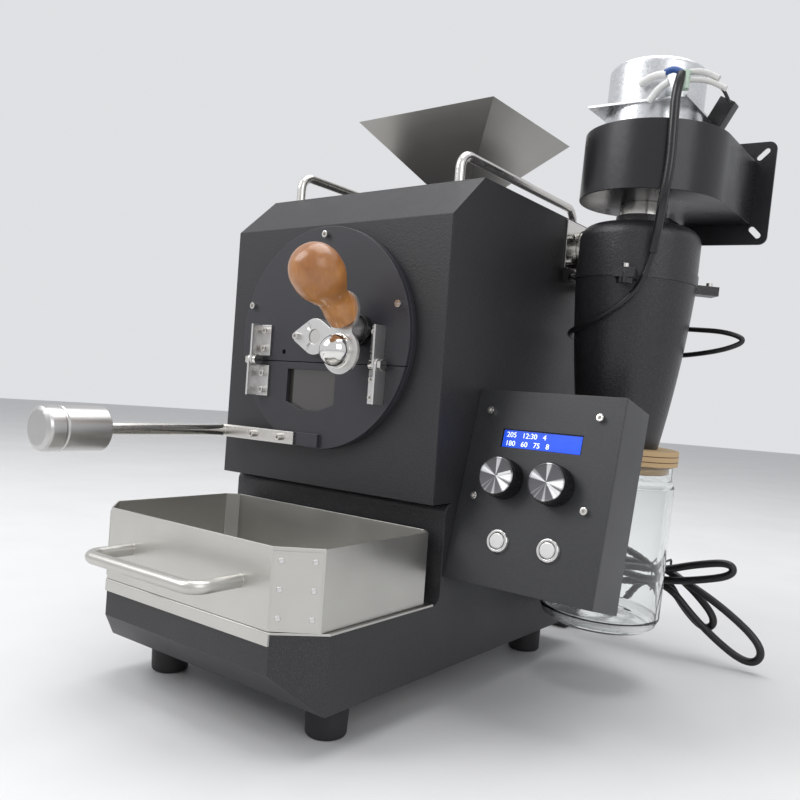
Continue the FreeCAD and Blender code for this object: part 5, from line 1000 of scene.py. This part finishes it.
class ROASTER_OT_blower(bpy.types.Operator):
    """Makes the blower's scroll, flange, motor and wiring"""
    bl_idname = "roaster.blower"
    bl_label = "Blower"

    def execute(self, context):
        dressed(context, "blower_scroll", "satin_black_paint", 0.8)
        dressed(context, "blower_flange", "satin_black_paint", 0.4)
        dressed(context, "blower_motor", "galvanised_sheet", 0.6)
        dressed(context, "blower_impeller", "galvanised_sheet", 0.2)
        dressed(context, "capacitor_box", "gloss_plastic", 0.8)
        self.wiring(context)
        return {"FINISHED"}


    def wiring(self, context):
        """The short wires from the lead's sleeve to the motor, with their terminals, band and tie."""
        for name, start, end, radius, look in WIRES:
            first, last = Vector(start), Vector(end)
            sag = Vector((0, 0, 2.5))
            line = [HOUSING @ (first.lerp(last, step / 8) + sag * math.sin(math.pi * step / 8))
                    for step in range(9)]
            wire = tube_along(line, [radius * MM] * len(line), 12)
            piece(context, name, wire, look, "chassis", Matrix.Identity(4))


class ROASTER_OT_control_box(bpy.types.Operator):
    """Makes the control box, its display, dials and buttons"""
    bl_idname = "roaster.control_box"
    bl_label = "Control Box"

    def execute(self, context):
        dressed(context, "control_case", "fine_powder_coat", 0.4)
        dressed(context, "control_face", "fine_powder_coat", 0.4)
        dressed(context, "lcd_and_dial_board", "gloss_plastic", 0.2)
        dressed(context, "button_rings", "mirror_steel", 0.4)
        for side, across, pointer in DIALS:
            self.dial(context, side, across, pointer)
            dressed(context, side + "_button", "satin_steel", 0.8)
        self.display(context)
        return {"FINISHED"}

    def dial(self, context, side, across, pointer):
        """A knurled black rim, a spun face and a white pointer."""
        radius = context.scene.roaster_sizes.dial_radius
        place = PANEL @ Matrix.Translation((across, -DIAL_STAND, DIAL_RISE)) @ FORWARD
        body = side + "_dial"
        grip = joined(ribbed(radius, 13.4, 48, 0.7), disc_of(radius - 0.9, 14.6, 64), disc_of(2.9, -8, 32))
        piece(context, side + "_dial_grip", grip, "gloss_plastic", body, place, (side + "_dial",), 25)
        face = with_rays(lathe([(0, 14.5), (radius - 1.2, 14.5), (radius - 1.2, 15.2), (radius - 1.8, 15.4),
                                (radius - 2.4, 15.1), (0, 15.1)], 96), radius)
        piece(context, side + "_dial_face", face, "spun_aluminium", body, place)
        turn = Matrix.Rotation(math.radians(pointer), 4, "Z")
        mark = carry(block(-1, 2, 15.1, 2, radius - 4.6, 0.35), turn)
        piece(context, side + "_dial_pointer", mark, "pointer_white", body, place)

    def display(self, context):
        """The lit pane, set behind the face's opening, with two rows of plain figures."""
        pane = block(27.5, 1.2, 104.2, 63.6, 0.5, 13.2)
        piece(context, "display_pane", pane, "display_blue", "chassis", PANEL)
        upper, lower = context.scene.roaster_finishes.display_text.split("/")
        rows = joined(*[carry(figures(words, 5.6), Matrix.Translation((30, 1.15, rise)) @ FORWARD)
                        for words, rise in ((upper, 112.2), (lower, 105.6))])
        piece(context, "display_figures", rows, "display_white", "chassis", PANEL)


class ROASTER_OT_drum(bpy.types.Operator):
    """Finishes the drum, its shaft, the heat jacket and the gear motor"""
    bl_idname = "roaster.drum"
    bl_label = "Drum and Heat"

    def execute(self, context):
        for node in ("roasting_drum", "drum_spiders", "drum_vanes"):
            dressed(context, node, "drum_steel", 0)
        dressed(context, "drum_shaft", "polished_steel", 0.3)
        dressed(context, "heat_jacket", "strip_steel", 0)
        dressed(context, "heating_rods", "drum_steel", 0)
        dressed(context, "drum_motor", "galvanised_sheet", 0.5)
        return {"FINISHED"}


OPERATORS = (ROASTER_OT_stage, ROASTER_OT_cords, ROASTER_OT_body, ROASTER_OT_roof, ROASTER_OT_drum_front,
             ROASTER_OT_lever, ROASTER_OT_sampler, ROASTER_OT_tray, ROASTER_OT_cyclone, ROASTER_OT_jar,
             ROASTER_OT_blower, ROASTER_OT_control_box, ROASTER_OT_drum)


class ROASTER_PT_panel(bpy.types.Panel):
    """Lists the roaster's groups of pieces"""
    bl_idname = "ROASTER_PT_panel"
    bl_label = "Coffee Roaster"
    bl_space_type = "VIEW_3D"
    bl_region_type = "UI"
    bl_category = "Roaster"

    def draw(self, context):
        for settings in (context.scene.roaster_sizes, context.scene.roaster_finishes):
            for name in settings.__annotations__:
                self.layout.prop(settings, name)
        for operator in OPERATORS:
            self.layout.operator(operator.bl_idname)


CLASSES = (RoasterSizes, RoasterFinishes, *OPERATORS, ROASTER_PT_panel)


def register():
    for item in CLASSES:
        bpy.utils.register_class(item)
    bpy.types.Scene.roaster_sizes = PointerProperty(type=RoasterSizes)
    bpy.types.Scene.roaster_finishes = PointerProperty(type=RoasterFinishes)


def unregister():
    del bpy.types.Scene.roaster_finishes
    del bpy.types.Scene.roaster_sizes
    for item in reversed(CLASSES):
        bpy.utils.unregister_class(item)


def main():
    register()
    for operator in OPERATORS:
        getattr(bpy.ops.roaster, operator.bl_idname.split(".")[1])()


if __name__ == "__main__":
    main()
